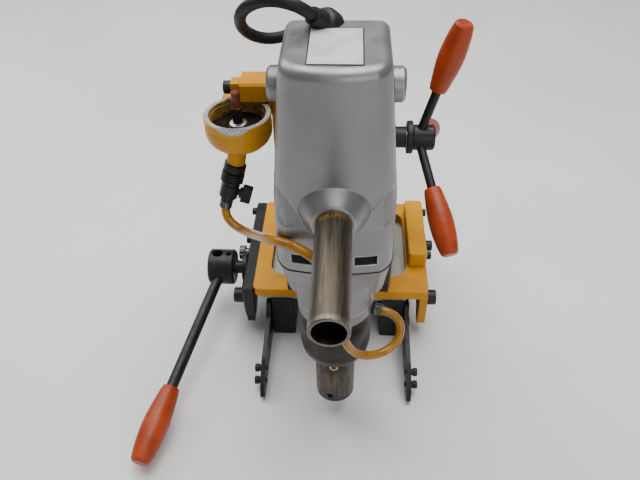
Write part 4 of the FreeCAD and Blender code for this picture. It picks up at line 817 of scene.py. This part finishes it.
def combined(name, base, steps):
    """The base mesh after each step: an operation and the mesh that it takes."""
    scene = bpy.context.scene
    holder = bpy.data.objects.new(name, base)
    scene.collection.objects.link(holder)
    tools = []
    for operation, mesh in steps:
        tool = bpy.data.objects.new(mesh.name, mesh)
        scene.collection.objects.link(tool)
        change = holder.modifiers.new(mesh.name, "BOOLEAN")
        change.operation = operation
        change.object = tool
        change.solver = "EXACT"
        tools.append(tool)
    bpy.context.view_layer.update()
    mesh = bpy.data.meshes.new_from_object(holder.evaluated_get(bpy.context.evaluated_depsgraph_get()))
    for thing in tools + [holder]:
        bpy.data.objects.remove(thing)
    for polygon in mesh.polygons:
        polygon.use_smooth = True
    mesh.set_sharp_from_angle(angle=SHARP_ANGLE)
    return mesh


def room(name, radius, y, z_range):
    """A round room about an upright axis, to cut out of a casting."""
    low, high = z_range
    return lathe(name, [(0, low), (radius, low), (radius, high), (0, high)], (0, y, 0), (0, 0, 1), 64)


def gear_cover():
    """The gear case: it leans back from the seam round the nose's barrel, with rooms for the gears."""
    top = case_outline(SEAM_HALF_WIDTH, SEAM_Y)
    bottom = case_outline(CASE_BOTTOM_HALF_WIDTH, CASE_BOTTOM_Y)
    middle = Vector((0, sum(CASE_BOTTOM_Y) / 2))
    rings = []
    for i in range(CASE_EDGE_STEPS + 1):
        angle = math.radians(90 * i / CASE_EDGE_STEPS)
        share = 1 - CASE_EDGE_R * (1 - math.sin(angle)) / CASE_BOTTOM_HALF_WIDTH
        height = CASE_BOTTOM_Z + CASE_EDGE_R * (1 - math.cos(angle))
        ring = [middle + (p - middle) * share for p in bottom]
        rings.append([(p.x, p.y, height) for p in ring])
    rings.append([(p.x, p.y, SEAM_Z) for p in top])
    barrel = [(radius, CASE_BOTTOM_Z + height) for radius, height in BARREL_PROFILE]
    steps = [("UNION", lathe("barrel", barrel, (0, NOSE_Y, 0), (0, 0, 1), 96))]
    for i, cut in enumerate(GEAR_ROOMS):
        steps.append(("DIFFERENCE", room("room_%d" % i, *cut)))
    mesh = combined("gear_cover", stacked("gear_cover", rings), steps)
    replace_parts(add("gear_cover", mesh, SILVER, "head"), "gear_case")


def nose_barrel():
    """The nose: a barrel below the gear case, with a step where its black half begins."""
    step = NOSE_BLACK_TOP_Z
    land = CASE_BOTTOM_Z - NOSE_LAND_DEPTH
    profile = [(NOSE_BORE_R, NOSE_BOTTOM_Z), (NOSE_R - 1, NOSE_BOTTOM_Z), (NOSE_R, NOSE_BOTTOM_Z + 1),
               (NOSE_R, step - 12), (NOSE_R - 0.8, step - 10), (NOSE_R - 0.8, step), (NOSE_R + 0.4, step),
               (NOSE_R + 1, step + 1), (BARREL_R, CASE_BOTTOM_Z), (NOSE_LAND_R, CASE_BOTTOM_Z),
               (NOSE_LAND_R, land), (NOSE_BORE_R, land)]
    barrel = lathe("nose_barrel", profile, (0, NOSE_Y, 0), (0, 0, 1), 96)
    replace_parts(add("nose_barrel", barrel, NOSE, "head"), "nose")


def collar_ring():
    """The black collar under the nose, which narrows to the arbor."""
    ring = lathe("collar_ring", COLLAR_PROFILE, (0, NOSE_Y, 0), (0, 0, 1), 96)
    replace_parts(add("collar_ring", ring, COLLAR, "head"), "collar")


def arbor_sleeve():
    """The arbor, with its two socket screws where the photograph shows them."""
    z0, z1 = ARBOR_Z
    bore_top = z0 + SHANK_BORE_DEPTH
    profile = [(SHANK_BORE_R, z0), (ARBOR_R - ARBOR_CHAMFER, z0), (ARBOR_R, z0 + ARBOR_CHAMFER),
               (ARBOR_R, z1), (PILOT_R, z1), (PILOT_R, bore_top), (SHANK_BORE_R, bore_top)]
    hole_r = SCREW_R + SCREW_PLAY
    hole = [(0, 10), (hole_r, 10), (hole_r, 22), (0, 22)]
    head = [(0, 10.5), (SCREW_R, 10.5), (SCREW_R, 19.7), (SCREW_R - 0.4, 20.1), (2.3, 19.9),
            (2, 16.5), (0, 16.5)]
    holes = []
    screws = []
    for i, (z, angle) in enumerate(ARBOR_SCREWS):
        out = (math.cos(math.radians(angle)), math.sin(math.radians(angle)), 0)
        middle = (0, NOSE_Y, z)
        holes.append(("DIFFERENCE", lathe("hole_%d" % i, hole, middle, out, 32)))
        screws.append(lathe("screw_%d" % i, head, middle, out, 32))
    sleeve = combined("arbor_sleeve", lathe("sleeve", profile, (0, NOSE_Y, 0), (0, 0, 1), 96), holes)
    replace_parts(add("arbor_sleeve", sleeve, ARBOR, "arbor_spindle"), "arbor")
    pair = combined("arbor_screws", screws[0], [("UNION", screws[1])])
    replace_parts(add("arbor_screws", pair, SET_SCREWS, "arbor_spindle"), "set_screws")


def front_facets():
    """The slanting facets beside the front tube, from the lower band's edge up to the bowed panel."""
    for name, side in (("facet_right", 1), ("facet_left", -1)):
        front = [Vector((side * x, y, z)) for x, y, z in FACET_LOW + FACET_HIGH]
        back = [p + Vector((-side * FACET_SINK, FACET_SINK, 0)) for p in front]
        shape = bmesh.new()
        corners = [shape.verts.new(in_metres(p)) for p in front + back]
        bmesh.ops.convex_hull(shape, input=corners)
        add(name, mesh_from(name, shape, False), SILVER, "head")


def slide_plate():
    """The slide: a plate with its dovetail tail and the rack's channel."""
    x0, x1 = SLIDE_X
    y0, y1 = SLIDE_Y
    z0, z1 = SLIDE_Z
    outline = [(x0, y0), (x1 - SLIDE_CORNER, y0)]
    corner = Vector((x1 - SLIDE_CORNER, y0 + SLIDE_CORNER))
    for i in range(1, 6):
        angle = math.radians(18 * i - 90)
        outline.append(tuple(corner + Vector((math.cos(angle), math.sin(angle))) * SLIDE_CORNER))
    outline += [(x1, y1)] + TAIL_OUTLINE + [(-x, y) for x, y in reversed(TAIL_OUTLINE)] + [(x0, y1)]
    mesh = raised("slide_plate", [(x, y, z0) for x, y in outline], z1 - z0)
    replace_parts(add("slide_plate", mesh, YELLOW, "head"), "carriage")


def cup_base():
    """The cup's rounded underside, which narrows to the neck."""
    z0 = CUP_BASE_Z
    outer = CUP_R + 0.15
    profile = [(7, z0), (16, z0 + 0.5), (21, z0 + 2.5), (25, z0 + 6.5), (27, z0 + 10.5), (outer, z0 + 14),
               (outer, z0 + 20.5), (outer - 0.4, z0 + 20.5), (20, z0 + 11), (7, z0 + 9)]
    base = lathe("cup_base", profile, CUP_MIDDLE + (0,), (0, 0, 1), 72)
    add("cup_base", base, CUP_YELLOW, "head")


def cap_seals():
    """The dark seal under each brush cap."""
    low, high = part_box("brush_caps")
    middle = Vector((0, (low[1] + high[1]) / 2, (low[2] + high[2]) / 2)) / MM
    for name, side in (("cap_seal_right", 1), ("cap_seal_left", -1)):
        place = middle + Vector((SEAL_X * side, 0, 0))
        seal = lathe(name, SEAL_PROFILE, place, (side, 0, SEAL_LEAN))
        add(name, seal, RUBBER, "head")


def tube_cheeks():
    """The two upright ribs of the housing that stand beside the front tube."""
    steps = 7
    low, high = CHEEK_Z
    for name, x in (("tube_cheek_right", CHEEK_X), ("tube_cheek_left", -CHEEK_X)):
        route = [in_metres((x, CHEEK_Y, low + (high - low) * i / steps)) for i in range(steps + 1)]
        add(name, tube_mesh(name, route, CHEEK_R * MM, 16), SILVER, "head")


# Floor, light and camera

def studio():
    """A pale floor, three broad lights and an even sky."""
    shape = bmesh.new()
    bmesh.ops.create_grid(shape, x_segments=2, y_segments=2, size=FLOOR_HALF_SIZE)
    floor = bpy.data.objects.new("floor", mesh_from("floor", shape, False))
    floor.data.materials.append(floor_paint("floor").material)
    bpy.context.scene.collection.objects.link(floor)
    for name, place, size, power in LIGHTS:
        light = bpy.data.lights.new(name, "AREA")
        light.size = size
        light.energy = power
        lamp = bpy.data.objects.new(name, light)
        lamp.location = place
        lamp.rotation_euler = (LIGHT_TARGET - Vector(place)).to_track_quat("-Z", "Y").to_euler()
        bpy.context.scene.collection.objects.link(lamp)
    world = bpy.data.worlds.new("sky")
    world.use_nodes = True
    sky = world.node_tree.nodes["Background"]
    sky.inputs["Color"].default_value = SKY_COLOUR
    sky.inputs["Strength"].default_value = SKY_STRENGTH
    bpy.context.scene.world = world


def camera():
    """The camera, at the photograph's place and heading."""
    heading = Vector((-math.sin(CAMERA_YAW), math.cos(CAMERA_YAW), 0))
    up = Vector((0, 0, 1))
    forward = heading * math.cos(CAMERA_PITCH) - up * math.sin(CAMERA_PITCH)
    right = forward.cross(up).normalized()
    down = forward.cross(right)
    x_axis = right * math.cos(CAMERA_ROLL) + down * math.sin(CAMERA_ROLL)
    y_axis = right * math.sin(CAMERA_ROLL) - down * math.cos(CAMERA_ROLL)
    lens = bpy.data.cameras.new("camera")
    lens.sensor_fit = "HORIZONTAL"
    lens.sensor_width = SENSOR_WIDTH
    lens.lens = FOCAL_PIXELS / IMAGE_WIDTH * SENSOR_WIDTH
    lens.clip_start = 0.01
    view = bpy.data.objects.new("camera", lens)
    turn = Matrix((x_axis, y_axis, -forward)).transposed().to_4x4()
    view.matrix_world = Matrix.Translation(CAMERA_PLACE) @ turn
    bpy.context.scene.collection.objects.link(view)
    bpy.context.scene.camera = view


camera()
dress_nodes()
oil_hose()
motor_lead()
cup_details()
cock_ridges()
hose_clamps()
bare_plate()
case_seam()
gear_cover()
nose_barrel()
collar_ring()
arbor_sleeve()
front_facets()
slide_plate()
cup_base()
cap_seals()
tube_cheeks()
studio()
